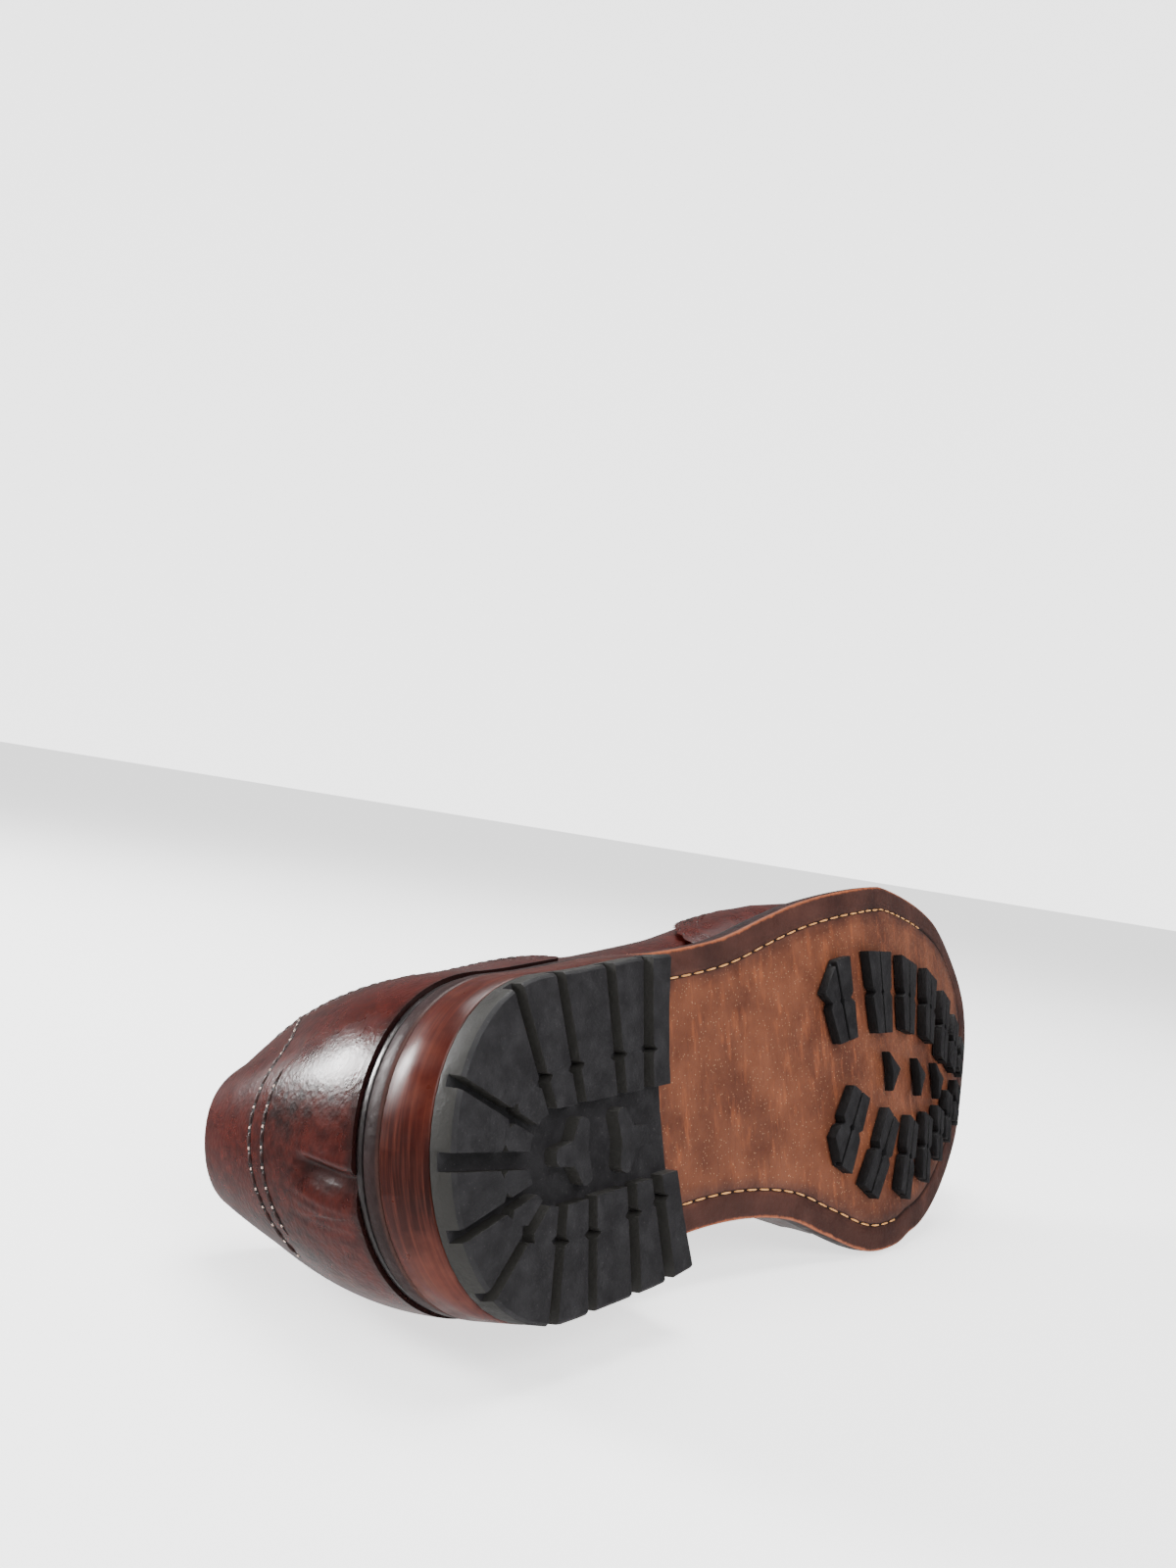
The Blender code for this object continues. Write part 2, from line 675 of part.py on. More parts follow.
def make_heel_top_piece(look):
    levels = [
        heel_level(1.0, EDGE_ROUND, lambda x: 0.0),
        heel_level(1 - EDGE_ROUND / SEAT_HEIGHT, 0.0, lambda x: EDGE_ROUND),
        heel_level(1 - TOP_PIECE / SEAT_HEIGHT, 0.0, lambda x: TOP_PIECE),
    ]
    piece = solid_from_levels("heel_top_piece", levels, look)

    def below(x):
        return -TOP_PIECE

    def floor(x):
        return TOP_PIECE_CLEAT

    centre_y = RECESS_OFFSET
    round_x = RECESS_BACK + RECESS_HALF_WIDTH
    recess = [
        (
            round_x - RECESS_HALF_WIDTH * math.sin(math.pi * i / 6),
            centre_y - RECESS_HALF_WIDTH * math.cos(math.pi * i / 6),
        )
        for i in range(7)
    ]
    open_end = HEEL_LENGTH + RECESS_RUNOUT
    recess += [
        (open_end, centre_y + RECESS_HALF_WIDTH),
        (open_end, centre_y - RECESS_HALF_WIDTH),
    ]
    apply_tool(piece, prism("cut_recess", recess, below, floor), "DIFFERENCE")
    for number, row in enumerate(GROOVES):
        inner = Vector((row.x_in * HEEL_LENGTH, row.y_in * SEAT_WIDTH / 2))
        outer = Vector((row.x_out * HEEL_LENGTH, row.y_out * SEAT_WIDTH / 2))
        along = (outer - inner).normalized()
        groove = bar_outline(
            inner - along * row.width, outer + along * 2 * row.width, row.width, row.width
        )
        apply_tool(piece, prism(f"cut_groove_{number}", groove, below, floor), "DIFFERENCE")
        centre = inner.lerp(outer, GROOVE_NOTCH_PLACE)
        notch = diamond_outline(centre, along, GROOVE_NOTCH, row.width / 2 + GROOVE_NOTCH_DEPTH)
        apply_tool(piece, prism(f"cut_notch_{number}", notch, below, floor), "DIFFERENCE")

    def tread(x):
        return 0.0

    def root(x):
        return TOP_PIECE_CLEAT + CLEAT_ROOT

    for number, row in enumerate(HEEL_CLEATS):
        outline = heel_cleat_outline((row.along * HEEL_LENGTH, centre_y), row.points_to)
        apply_tool(piece, prism(f"heel_cleat_{number}", outline, tread, root), "UNION")


def cleat_low(x):
    return sole_bottom(x) - CLEAT_HEIGHT


def cleat_high(x):
    return sole_bottom(x) - CLEAT_GAP


def make_cleat(name, row, look):
    """Bar of the forefoot with a notch in each long side, a slit and a diamond."""
    outer = Vector((row.x_out * SOLE_LENGTH, row.y_out * BALL_WIDTH / 2))
    inner = Vector((row.x_in * SOLE_LENGTH, row.y_in * BALL_WIDTH / 2))
    along = (inner - outer).normalized()
    forward = Vector((-along.y, along.x))
    if forward.x < 0:
        forward.negate()

    def place(share, side, shift=0.0, out=0.0):
        width = row.w_out + (row.w_in - row.w_out) * share
        return tuple(
            outer.lerp(inner, share) + forward * (side * width / 2 + out) + along * shift
        )

    notch = CLEAT_NOTCH
    outline = [place(0, 1), place(0.5, 1, -notch), place(0.5, 1, 0, -notch), place(0.5, 1, notch)]
    outline += [place(1, 1), place(1, -1)]
    outline += [place(0.5, -1, notch), place(0.5, -1, 0, notch), place(0.5, -1, -notch)]
    if row.corner:
        outline += [place(0, -1, row.corner), place(0, -1, 0, row.corner)]
    else:
        outline.append(place(0, -1))
    cleat = new_object(name, prism_mesh(outline, cleat_low, cleat_high), look)

    def below(x):
        return cleat_low(x) - SLIT_DEPTH

    def floor(x):
        return cleat_low(x) + SLIT_DEPTH

    runout = along * SLIT_RUNOUT
    slit = bar_outline(outer - runout, inner + runout, SLIT_WIDTH, SLIT_WIDTH)
    apply_tool(cleat, prism(f"cut_{name}_slit", slit, below, floor), "DIFFERENCE")
    middle = outer.lerp(inner, 0.5)
    diamond = diamond_outline(middle, along, DIAMOND_LENGTH / 2, DIAMOND_WIDTH / 2)
    apply_tool(cleat, prism(f"cut_{name}_diamond", diamond, below, floor), "DIFFERENCE")


def make_arrow(name, row, look):
    """Arrowhead on the forefoot's centre line."""
    x, y = row.x * SOLE_LENGTH, row.y * BALL_WIDTH / 2
    outline = [
        (x, y - ARROW_HALF_WIDTH),
        (x + ARROW_SHOULDER, y - ARROW_SHOULDER_WIDTH),
        (x + ARROW_LENGTH, y),
        (x + ARROW_SHOULDER, y + ARROW_SHOULDER_WIDTH),
        (x, y + ARROW_HALF_WIDTH),
        (x + ARROW_DENT, y),
    ]
    new_object(name, prism_mesh(outline, cleat_low, cleat_high), look)


def upper_turns():
    """Stations of the upper from heel to toe, two of them at the ends of the facings."""
    turns = [i / STATIONS for i in range(STATIONS + 1)]
    for x in (FACING_TOP, THROAT):
        turn = turn_of_spine(x)
        turns[round(turn * STATIONS)] = turn
    return turns


def make_upper(look):
    """Vamp and quarters in one hollow wall, open at the top line, the throat and underneath."""
    turns = upper_turns()
    order = [(LATERAL, turn) for turn in turns] + [(MEDIAL, turn) for turn in turns[-2:0:-1]]
    columns = []
    for side, turn in order:
        top = top_level(side, turn)
        columns.append([on_last(side, turn, top * j / ROWS) for j in range(ROWS + 1)])
    sheet("upper", columns, look, WALL, outward=False, closed=True)


def make_wing_cap(look):
    """Toe cap with a peak on the ridge and a wing back along each side, on the upper's stations."""
    levels = [WING_LOW] + [j / ROWS for j in range(1, ROWS + 1)]
    edges = [turn_of_spine(table_value(WING_EDGE, "edge", level)) for level in levels]
    turns = [turn for turn in upper_turns() if turn > min(edges)]
    turns.insert(0, min(edges))
    order = [(LATERAL, turn) for turn in turns] + [(MEDIAL, turn) for turn in turns[-2::-1]]
    columns = [
        [off_last(side, max(turn, edge), level, WING_GAP) for level, edge in zip(levels, edges)]
        for side, turn in order
    ]
    sheet("wing_cap", columns, look, OVERLAY, outward=True)


def make_counter(look):
    """Counter round the heel, with its front edges falling to the feather."""
    stations = [turn for turn in upper_turns() if length_at(turn) < COUNTER_LENGTH]
    stations += [turn_at(row.along * COUNTER_LENGTH) for row in COUNTER_EDGE[2:]]
    stations.sort()
    turns = [
        turn
        for turn, after in zip(stations, stations[1:])
        if length_at(after) - length_at(turn) > MERGE
    ]
    turns.append(stations[-1])
    order = [(MEDIAL, turn) for turn in reversed(turns[1:])] + [(LATERAL, turn) for turn in turns]
    columns = []
    for side, turn in order:
        share = length_at(turn) / COUNTER_LENGTH
        height = table_value(COUNTER_EDGE, "edge", share) * COUNTER_HEIGHT
        cut = section(turn)
        top = math.asin((height / cut["crown"]) ** (cut["height_power"] / 2)) / (math.pi / 2)
        levels = [
            COUNTER_LOW + (top - COUNTER_LOW) * j / COUNTER_ROWS for j in range(COUNTER_ROWS + 1)
        ]
        columns.append([off_last(side, turn, level, OVERLAY_GAP) for level in levels])
    sheet("counter", columns, look, OVERLAY, outward=True)


def make_facing(side, look):
    """Facing along one edge of the throat."""
    rows = 5
    start, end = turn_of_spine(FACING_TOP), turn_of_spine(THROAT)
    turns = [turn for turn in upper_turns() if start <= turn <= end]
    turns.insert(-1, (turns[-2] + turns[-1]) / 2)
    if side == MEDIAL:
        turns.reverse()
    columns = []
    for turn in turns:
        share = (turn - start) / (end - start)
        top = top_level(side, turn)
        width = FACING_WIDTH * math.sqrt(1 - FACING_TAPER * share**3)
        low = level_below(side, turn, top, width)
        levels = [low + (top - low) * j / rows for j in range(rows + 1)]
        columns.append([off_last(side, turn, level, OVERLAY_GAP) for level in levels])
    sheet(f"facing_{SIDE_NAMES[side]}", columns, look, OVERLAY, outward=True)


def make_tongue(look):
    """Tongue under the facings, from inside the vamp to above the top line."""
    half = 4
    inside = -(WALL + TONGUE_GAP)
    start, end = turn_of_spine(TONGUE_TOP), turn_of_spine(TONGUE_FRONT)
    turns = [start] + [turn for turn in upper_turns() if start < turn < end] + [end]
    columns = []
    for turn in turns:
        share = (turn - start) / (end - start)
        tip = min(1, TONGUE_TIP_ROUND + (1 - TONGUE_TIP_ROUND) * share / TONGUE_TIP_REACH)
        width = TONGUE_HALF_WIDTH * (1 - TONGUE_TAPER * share) * math.sqrt(tip)
        low = level_below(LATERAL, turn, 1.0, width)
        rise = [low + (1 - low) * j / half for j in range(half + 1)]
        column = [off_last(LATERAL, turn, level, inside) for level in rise]
        column += [off_last(MEDIAL, turn, level, inside) for level in reversed(rise[:-1])]
        columns.append(column)
    sheet("tongue", columns, look, TONGUE_THICKNESS, outward=False)


def eyelet_place(side, number):
    """Turn and level of an eyelet's centre."""
    share = (number + 0.5) / EYELETS
    turn = turn_of_spine(FACING_TOP + EYELET_MARGIN + EYELET_RUN * share)
    return turn, level_below(side, turn, top_level(side, turn), EYELET_INSET)


def make_eyelet(side, number, look):
    turn, level = eyelet_place(side, number)
    seat = OVERLAY_GAP + OVERLAY + OVERLAY_GAP
    centre = off_last(side, turn, level, seat)
    out = (off_last(side, turn, level, seat + OVERLAY) - centre).normalized()
    bm = bmesh.new()
    turns, profile = 12, 4
    wire = (EYELET_RADIUS - EYELET_HOLE) / 2
    radius = (EYELET_RADIUS + EYELET_HOLE) / 2
    rotation = Vector((0, 0, 1)).rotation_difference(out)
    rings = []
    for i in range(turns):
        around = 2 * math.pi * i / turns
        ring = []
        for j in range(profile):
            lean = 2 * math.pi * j / profile
            reach = radius + wire * math.cos(lean)
            up = EYELET_HEIGHT / 2 * (1 + math.sin(lean))
            point = Vector((reach * math.cos(around), reach * math.sin(around), up))
            ring.append(bm.verts.new(centre + rotation @ point))
        rings.append(ring)
    for i in range(turns):
        ring, after = rings[i], rings[(i + 1) % turns]
        for j in range(profile):
            k = (j + 1) % profile
            bm.faces.new((ring[j], after[j], after[k], ring[k]))
    bmesh.ops.recalc_face_normals(bm, faces=bm.faces)
    new_object(f"eyelet_{SIDE_NAMES[side]}_{number + 1}", bm, look)


def make_lace_bar(number, look):
    """Bar of the lace from one eyelet to the one across the throat, over both facings."""
    seat = OVERLAY_GAP + OVERLAY + OVERLAY_GAP
    ride = seat + EYELET_HEIGHT + 2 * GAP + LACE_RADIUS
    halves = []
    for side in (LATERAL, MEDIAL):
        turn, level = eyelet_place(side, number)
        top = top_level(side, turn)
        half = [off_last(side, turn, level, seat + EYELET_HEIGHT / 2)]
        for share in (0.0, 0.5, 1.0):
            half.append(off_last(side, turn, level + (top - level) * share, ride))
        halves.append(half)
    points = halves[0] + halves[1][::-1]
    name = f"lace_bar_{number + 1}"
    curve = bpy.data.curves.new(name, "CURVE")
    curve.dimensions = "3D"
    curve.bevel_depth = LACE_RADIUS
    curve.bevel_resolution = 1
    curve.use_fill_caps = True
    spline = curve.splines.new("POLY")
    spline.points.add(len(points) - 1)
    for target, point in zip(spline.points, points):
        target.co = (*point, 1.0)
    curve.materials.append(new_material(name, *look))
    obj = bpy.data.objects.new(name, curve)
    SHOE.objects.link(obj)
    obj.parent = STAND


def world_triangles():
    """Triangles of every piece of the shoe as it stands."""
    bpy.context.view_layer.update()
    graph = bpy.context.evaluated_depsgraph_get()
    triangles = []
    for obj in SHOE.objects:
        if obj.type == "EMPTY":
            continue
        evaluated = obj.evaluated_get(graph)
        mesh = evaluated.to_mesh()
        mesh.calc_loop_triangles()
        points = [evaluated.matrix_world @ vertex.co for vertex in mesh.vertices]
        triangles += [[points[i] for i in face.vertices] for face in mesh.loop_triangles]
        evaluated.to_mesh_clear()
    return triangles


def centre_of(triangles):
    """Centre of mass of closed bodies of one density."""
    total, moment = 0.0, Vector()
    for a, b, c in triangles:
        volume = a.dot(b.cross(c)) / 6
        total += volume
        moment += (a + b + c) / 4 * volume
    return moment / total


def resting_normal(triangles):
    """Outward direction of the hull's face on the inner side that carries the shoe's centre."""
    centre = centre_of(triangles)
    bm = bmesh.new()
    for point in {point.to_tuple(6) for triangle in triangles for point in triangle}:
        bm.verts.new(point)
    hull = bmesh.ops.convex_hull(bm, input=bm.verts)
    faces = [item for item in hull["geom"] if isinstance(item, bmesh.types.BMFace)]
    best, best_depth = None, None
    for face in faces:
        face.normal_update()
        a, b, c = [vertex.co.copy() for vertex in face.verts]
        normal = (b - a).cross(c - a).normalized()
        if normal.dot(a - centre) < 0:
            normal.negate()
        if normal.y < INNER_SIDE:
            continue
        foot = centre + normal * normal.dot(a - centre)
        turns = [(q - p).cross(foot - p).dot(normal) for p, q in ((a, b), (b, c), (c, a))]
        inside = all(turn > 0 for turn in turns) or all(turn < 0 for turn in turns)
        depth = normal.dot(a - centre)
        if inside and (best is None or depth < best_depth):
            best, best_depth = normal.copy(), depth
    bm.free()
    return best


def lay_down():
    """Turns the empty that carries the shoe so that it lies on its inner side on Z = 0."""
    triangles = world_triangles()
    down = resting_normal(triangles)
    forward = (Vector((1, 0, 0)) - down * down.x).normalized()
    up = -down
    side = up.cross(forward)
    turn = Matrix((forward, side, up)).to_4x4()
    points = [turn @ point for triangle in triangles for point in triangle]
    low = [min(point[axis] for point in points) for axis in range(3)]
    high = [max(point[axis] for point in points) for axis in range(3)]
    shift = Vector((-(low[0] + high[0]) / 2, -(low[1] + high[1]) / 2, -low[2]))
    STAND.matrix_world = Matrix.Translation(shift) @ turn


LEATHER = ((0.115, 0.028, 0.018), 0.32)
DARK_LEATHER = ((0.060, 0.016, 0.012), 0.35)
SOLE_LEATHER = ((0.240, 0.090, 0.045), 0.55)
STACK = ((0.150, 0.030, 0.015), 0.35)
BLACK_EDGE = ((0.018, 0.014, 0.014), 0.40)
RUBBER = ((0.028, 0.027, 0.029), 0.65)
LINING = ((0.260, 0.150, 0.080), 0.70)
EYELET_METAL = ((0.120, 0.085, 0.050), 0.35, 1.0)
LACE = ((0.035, 0.015, 0.012), 0.80)


def build():
    make_outsole(SOLE_LEATHER)
    make_welt(BLACK_EDGE)
    make_insole(LINING)
    make_heel_stack(STACK)
    make_heel_top_piece(RUBBER)
    for name, rows in CLEATS.items():
        for number, row in enumerate(rows, 1):
            make_cleat(f"cleat_{name}_{number}", row, RUBBER)
    for number, row in enumerate(ARROWS, 1):
        make_arrow(f"cleat_arrow_{number}", row, RUBBER)
    make_upper(LEATHER)
    make_wing_cap(LEATHER)
    make_counter(LEATHER)
    make_tongue(LEATHER)
    for side in (LATERAL, MEDIAL):
        make_facing(side, LEATHER)
    for number in range(EYELETS):
        make_eyelet(LATERAL, number, EYELET_METAL)
        make_eyelet(MEDIAL, number, EYELET_METAL)
        make_lace_bar(number, LACE)
    lay_down()


for thing in list(bpy.data.objects):
    bpy.data.objects.remove(thing, do_unlink=True)
SHOE = bpy.data.collections.new("BrogueShoe")
CUTTERS = bpy.data.collections.new("Cutters")
for collection in (SHOE, CUTTERS):
    bpy.context.scene.collection.children.link(collection)
STAND = bpy.data.objects.new("stand", None)
SHOE.objects.link(STAND)
build()
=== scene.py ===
"""Looks of a right brogue shoe that lies on its inner side with its sole towards the camera.

Lengths are in metres. Pieces are worked out in the shoe's own frame, where X runs from heel to
toe, Y to the inner side and Z up from the ground, and are then turned to the way it lies.
"""

import json
import math
from collections import namedtuple

import bmesh
import bpy
import numpy as np
from mathutils import Matrix, Vector


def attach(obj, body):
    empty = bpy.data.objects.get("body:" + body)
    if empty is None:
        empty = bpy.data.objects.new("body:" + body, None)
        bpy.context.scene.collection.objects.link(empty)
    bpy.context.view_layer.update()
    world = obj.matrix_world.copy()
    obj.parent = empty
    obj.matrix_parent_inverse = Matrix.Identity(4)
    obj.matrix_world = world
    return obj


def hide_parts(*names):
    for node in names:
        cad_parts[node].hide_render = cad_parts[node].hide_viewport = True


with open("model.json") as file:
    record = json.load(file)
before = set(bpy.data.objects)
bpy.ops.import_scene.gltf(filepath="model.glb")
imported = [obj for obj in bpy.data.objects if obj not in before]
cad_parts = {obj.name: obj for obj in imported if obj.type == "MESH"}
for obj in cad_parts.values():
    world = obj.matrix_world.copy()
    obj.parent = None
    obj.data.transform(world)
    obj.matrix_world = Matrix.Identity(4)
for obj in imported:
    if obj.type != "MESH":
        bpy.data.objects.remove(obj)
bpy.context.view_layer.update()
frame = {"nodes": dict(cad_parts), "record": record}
NODES = frame["nodes"]
LATERAL, MEDIAL = -1, 1
SIDE_NAMES = {LATERAL: "lateral", MEDIAL: "medial"}


def table(names, *rows):
    """Columns of a table by their names."""
    return dict(zip(names.split(), np.array(rows).T))


# Sizes of the solids
SOLE_LENGTH = 0.297
BALL_WIDTH = 0.1105
SEAT_WIDTH = 0.0725
OUTSOLE_THICKNESS = 0.0045
WELT_THICKNESS = 0.0024
WELT_INNER_REACH = 0.0050
TOE_SPRING = 0.0125
TOE_SHIFT = -0.0068
ARCH_RISE = 0.0012
HEEL_POWER = 2.30
TOE_POWER = {"lateral": 1.32, "medial": 1.80}
HEEL_LENGTH = 0.0812
HEEL_STACK = 0.0105
TOP_PIECE = 0.0050
HEEL_CONCAVITY = 0.0041
HEEL_RAKE = 0.0045
HEEL_TAPER = 0.0006
CLEAT_HEIGHT = 0.0036
WALL = 0.0020
BACK_HEIGHT = 0.0634
ANKLE_HEIGHT = 0.0500
INSTEP_HEIGHT = 0.0820
TOE_BOX_HEIGHT = 0.0345
SPINE_BACK = 0.0370
SPINE_FRONT = 0.2500
BULGE_LEVEL = 0.0220
SEAT_MARGIN = 0.0012
WAIST_MARGIN = 0.0032
FORE_MARGIN = 0.0062
FACING_TOP = 0.1120
THROAT = 0.1720
FACING_GAP = 0.0100
INSOLE_THICKNESS = 0.0030
TONGUE_THICKNESS = 0.0026
TONGUE_HALF_WIDTH = 0.0230
TONGUE_TOP = 0.0960
TONGUE_FRONT = 0.1830
TONGUE_GAP = 0.0022
FACING_WIDTH = 0.0270
WING_PEAK = 0.1820
COUNTER_HEIGHT = 0.0605
COUNTER_LENGTH = 0.0702
EYELETS = 5
EYELET_RADIUS = 0.0033
EYELET_HOLE = 0.0020
EYELET_HEIGHT = 0.0009
EYELET_INSET = 0.0085
LACE_RADIUS = 0.0012
GAP = 0.0003
OVERLAY_GAP = 0.0006
SEAT_HEIGHT = TOP_PIECE + GAP + HEEL_STACK + GAP
CAD_OVERLAY = 0.0010
HEEL_MOUNT = np.array((0.0665, -0.0205, 0.0))

# Sizes of the dressing
WELD = 2e-6
UPPER_COLUMNS = 400
UPPER_ROWS = 56
WING_ROWS = 330
COUNTER_ROWS = 900
WING_FOOT = 0.0
COUNTER_PLAIN = 0.0165
BACK_GROOVE = 0.0013
# Crease depth at which the painted shade in a crease is strongest
CREASE_SHADE_DEPTH = 0.0017
BACK_PITCH = 0.0041
OVERLAY_TOP = 0.0016
UNDER_OVERLAY = -0.0002
GIMP_PITCH = 0.0026
GIMP_DEPTH = 0.0009
HOLE_PITCH = 0.0070
HOLE_RADIUS = 0.0011
HOLE_INSET = 0.0045
HOLE_START = 0.0040
SMALL_HOLE = 0.45
SMALL_HOLE_OFFSET = 0.0009
STITCH_INSETS = (0.0018, 0.0072)
STITCH_PITCH = 0.0030
STITCH_LENGTH = 0.0023
STITCH_WIDTH = 0.0006
STITCH_FLATNESS = 0.6
THIN_EDGE = 0.75
ROUNDING = 0.00035
CHANNEL_INSET = 0.0075
SOLE_STITCH = 0.0052
CHANNEL_START = HEEL_LENGTH + 0.006
CHANNEL_STOP = {LATERAL: 0.2500, MEDIAL: 0.1960}
WELT_STITCH = 0.0042
WELT_STITCH_START = 0.36
WELT_STITCH_PLACE = 0.52
TWIST_TURN = 0.45
LACE_OVAL = 0.06

# Camera in the shoe's frame
CAMERA_PLACE = (-0.16183, -0.04128, -0.17108)
CAMERA_RIGHT = (0.6280, 0.0615, -0.7755)
CAMERA_DOWN = (0.0633, 0.9895, 0.1297)
CAMERA_AHEAD = (0.7755, -0.1305, 0.6178)
CAMERA_LENS = 27.82
WORLD_LIGHT = 0.22
TABLE_LIGHT = 0.8
BACKDROP_LIGHT = 2.6
BACKDROP = 38.0
FLOOR = 80.0
FLOOR_GLOW = 1.6
FLOOR_TONES = ((0.84, 0.84, 0.84, 1.0), (0.86, 0.86, 0.86, 1.0))
WHITE = (1.0, 1.0, 1.0, 1.0)

# Creases: bent line through three places of the upper (signed turn and level), its depth, half
# width, how much of the depth is left at its two ends, and how much steeper its outer side is.
# The heel's creases come first, then those where the toes bend, the same on either side
Crease = namedtuple("Crease", "q_a level_a q_m level_m q_b level_b depth width start stop lean")
CREASES = (
    Crease(-0.004, 0.108, 0.005, 0.058, 0.010, 0.000, 0.0022, 0.0019, 0.0, 0.8, 0.45),
    Crease(0.008, 0.098, 0.020, 0.060, 0.030, 0.000, 0.00022, 0.0007, 0.0, 0.9, 0.2),
    Crease(0.014, 0.112, 0.028, 0.062, 0.036, 0.000, 0.00020, 0.0006, 0.0, 0.9, 0.2),
    Crease(0.022, 0.126, 0.037, 0.070, 0.042, 0.000, 0.00022, 0.0007, 0.0, 0.9, 0.2),
    Crease(0.030, 0.134, 0.045, 0.076, 0.050, 0.000, 0.00018, 0.0007, 0.0, 0.8, 0.2),
    Crease(0.040, 0.138, 0.054, 0.080, 0.058, 0.000, 0.00016, 0.0008, 0.0, 0.7, 0.2),
) + tuple(
    Crease(side * q_a, level_a, side * q_m, level_m, side * q_b, 0.99, depth, width, 0.0, 1.0, 0.0)
    for side in (LATERAL, MEDIAL)
    for q_a, level_a, q_m, level_m, q_b, depth, width in (
        (0.575, 0.60, 0.570, 0.82, 0.560, 0.0006, 0.0032),
        (0.600, 0.52, 0.598, 0.78, 0.590, 0.0008, 0.0034),
        (0.628, 0.48, 0.627, 0.76, 0.620, 0.0006, 0.0032),
        (0.655, 0.56, 0.655, 0.78, 0.648, 0.0004, 0.0028),
    )
)

# Half widths of the sole as shares of half the named width, at shares of the length
OUTLINE = table(
    "along width lateral medial",
    (0.130, SEAT_WIDTH, 0.998, 1.000),
    (0.245, SEAT_WIDTH, 1.052, 1.010),
    (0.330, BALL_WIDTH, 0.690, 0.622),
    (0.420, BALL_WIDTH, 0.733, 0.632),
    (0.490, BALL_WIDTH, 0.832, 0.706),
    (0.540, BALL_WIDTH, 0.898, 0.835),
    (0.600, BALL_WIDTH, 0.947, 0.982),
    (0.660, BALL_WIDTH, 0.972, 1.014),
    (0.700, BALL_WIDTH, 0.976, 0.990),
)

# Underside of the sole: share of the seat's height, of the arch's rise and of the toe spring
PROFILE = table(
    "along seat arch spring",
    (0.00, 1.00, 0.0, 0.00),
    (0.14, 1.00, 0.3, 0.00),
    (0.26, 1.00, 1.0, 0.00),
    (0.36, 0.92, 1.0, 0.00),
    (0.50, 0.50, 0.2, 0.00),
    (0.62, 0.03, 0.0, 0.00),
    (0.66, 0.00, 0.0, 0.00),
    (0.72, 0.00, 0.0, 0.09),
    (0.88, 0.00, 0.0, 0.56),
    (1.00, 0.00, 0.0, 1.00),
)

# Margin of the welt outside the upper
MARGINS = table(
    "along margin",
    (0.00, SEAT_MARGIN),
    (0.22, SEAT_MARGIN),
    (0.40, WAIST_MARGIN),
    (0.62, FORE_MARGIN),
    (1.00, FORE_MARGIN),
)

# Cross-sections of the last: crown from toe box (0) to instep (1), swell of each side over the
# feather, the powers of the section's curve, and how far its ridge leans to the inner side
SECTIONS = table(
    "along rise lateral medial width_power height_power lean",
    (0.00, 1.38, 0.020, 0.020, 1.90, 2.0, 0.00),
    (0.03, 1.37, 0.020, 0.020, 1.22, 2.0, 0.00),
    (0.09, 1.36, 0.020, 0.010, 1.36, 2.0, 0.00),
    (0.16, 1.33, 0.025, 0.010, 1.64, 2.0, 0.01),
    (0.28, 1.18, 0.065, 0.060, 1.90, 2.0, 0.03),
    (0.40, 0.93, 0.140, 0.100, 1.90, 2.0, 0.06),
    (0.52, 0.58, 0.130, 0.080, 1.90, 2.1, 0.07),
    (0.63, 0.30, 0.060, 0.060, 2.00, 2.1, 0.07),
    (0.74, 0.15, 0.050, 0.050, 2.10, 2.2, 0.04),
    (0.86, 0.05, 0.050, 0.050, 2.20, 2.3, 0.01),
    (1.00, 0.00, 0.050, 0.050, 2.30, 2.4, 0.00),
)

# Height of the top line over the feather, as shares of the back's and the ankle's heights
TOPLINE = table(
    "along back lateral medial",
    (0.00, 1.00, 0.00, 0.00),
    (0.08, 0.85, 0.15, 0.16),
    (0.28, 0.35, 0.66, 0.71),
    (0.55, 0.00, 0.98, 1.05),
    (0.78, 0.00, 1.08, 1.14),
    (0.92, 0.00, 1.36, 1.40),
    (1.06, 0.00, 1.80, 1.80),
)

# Back edge of the wing cap, as distance of its rib on the ridge, by level (0 feather, 1 ridge)
WING_EDGE = table(
    "along edge",
    (0.00, 0.131),
    (0.12, 0.140),
    (0.30, 0.163),
    (0.50, 0.186),
    (0.66, 0.199),
    (0.80, 0.201),
    (0.92, 0.196),
    (1.00, WING_PEAK),
)
# Edge of the counter on either side: share of its height, by share of its length from the back
COUNTER_EDGE = table(
    "along edge",
    (0.00, 1.000),
    (0.14, 0.970),
    (0.22, 0.935),
    (0.28, 0.890),
    (0.34, 0.800),
    (0.41, 0.600),
    (0.48, 0.450),
    (0.57, 0.395),
    (0.74, 0.385),
    (0.88, 0.345),
    (0.95, 0.250),
    (0.99, 0.120),
    (1.00, 0.030),
)

# Two rows of stitches across the back of the heel, as level by signed turn
BACK_ROWS = table(
    "along upper lower",
    (-0.200, 0.385, 0.330),
    (-0.160, 0.290, 0.245),
    (-0.125, 0.232, 0.196),
    (-0.100, 0.221, 0.182),
    (-0.060, 0.228, 0.190),
    (-0.022, 0.233, 0.195),
    (0.014, 0.226, 0.192),
    (0.048, 0.210, 0.180),
    (0.084, 0.188, 0.160),
    (0.120, 0.176, 0.148),
)


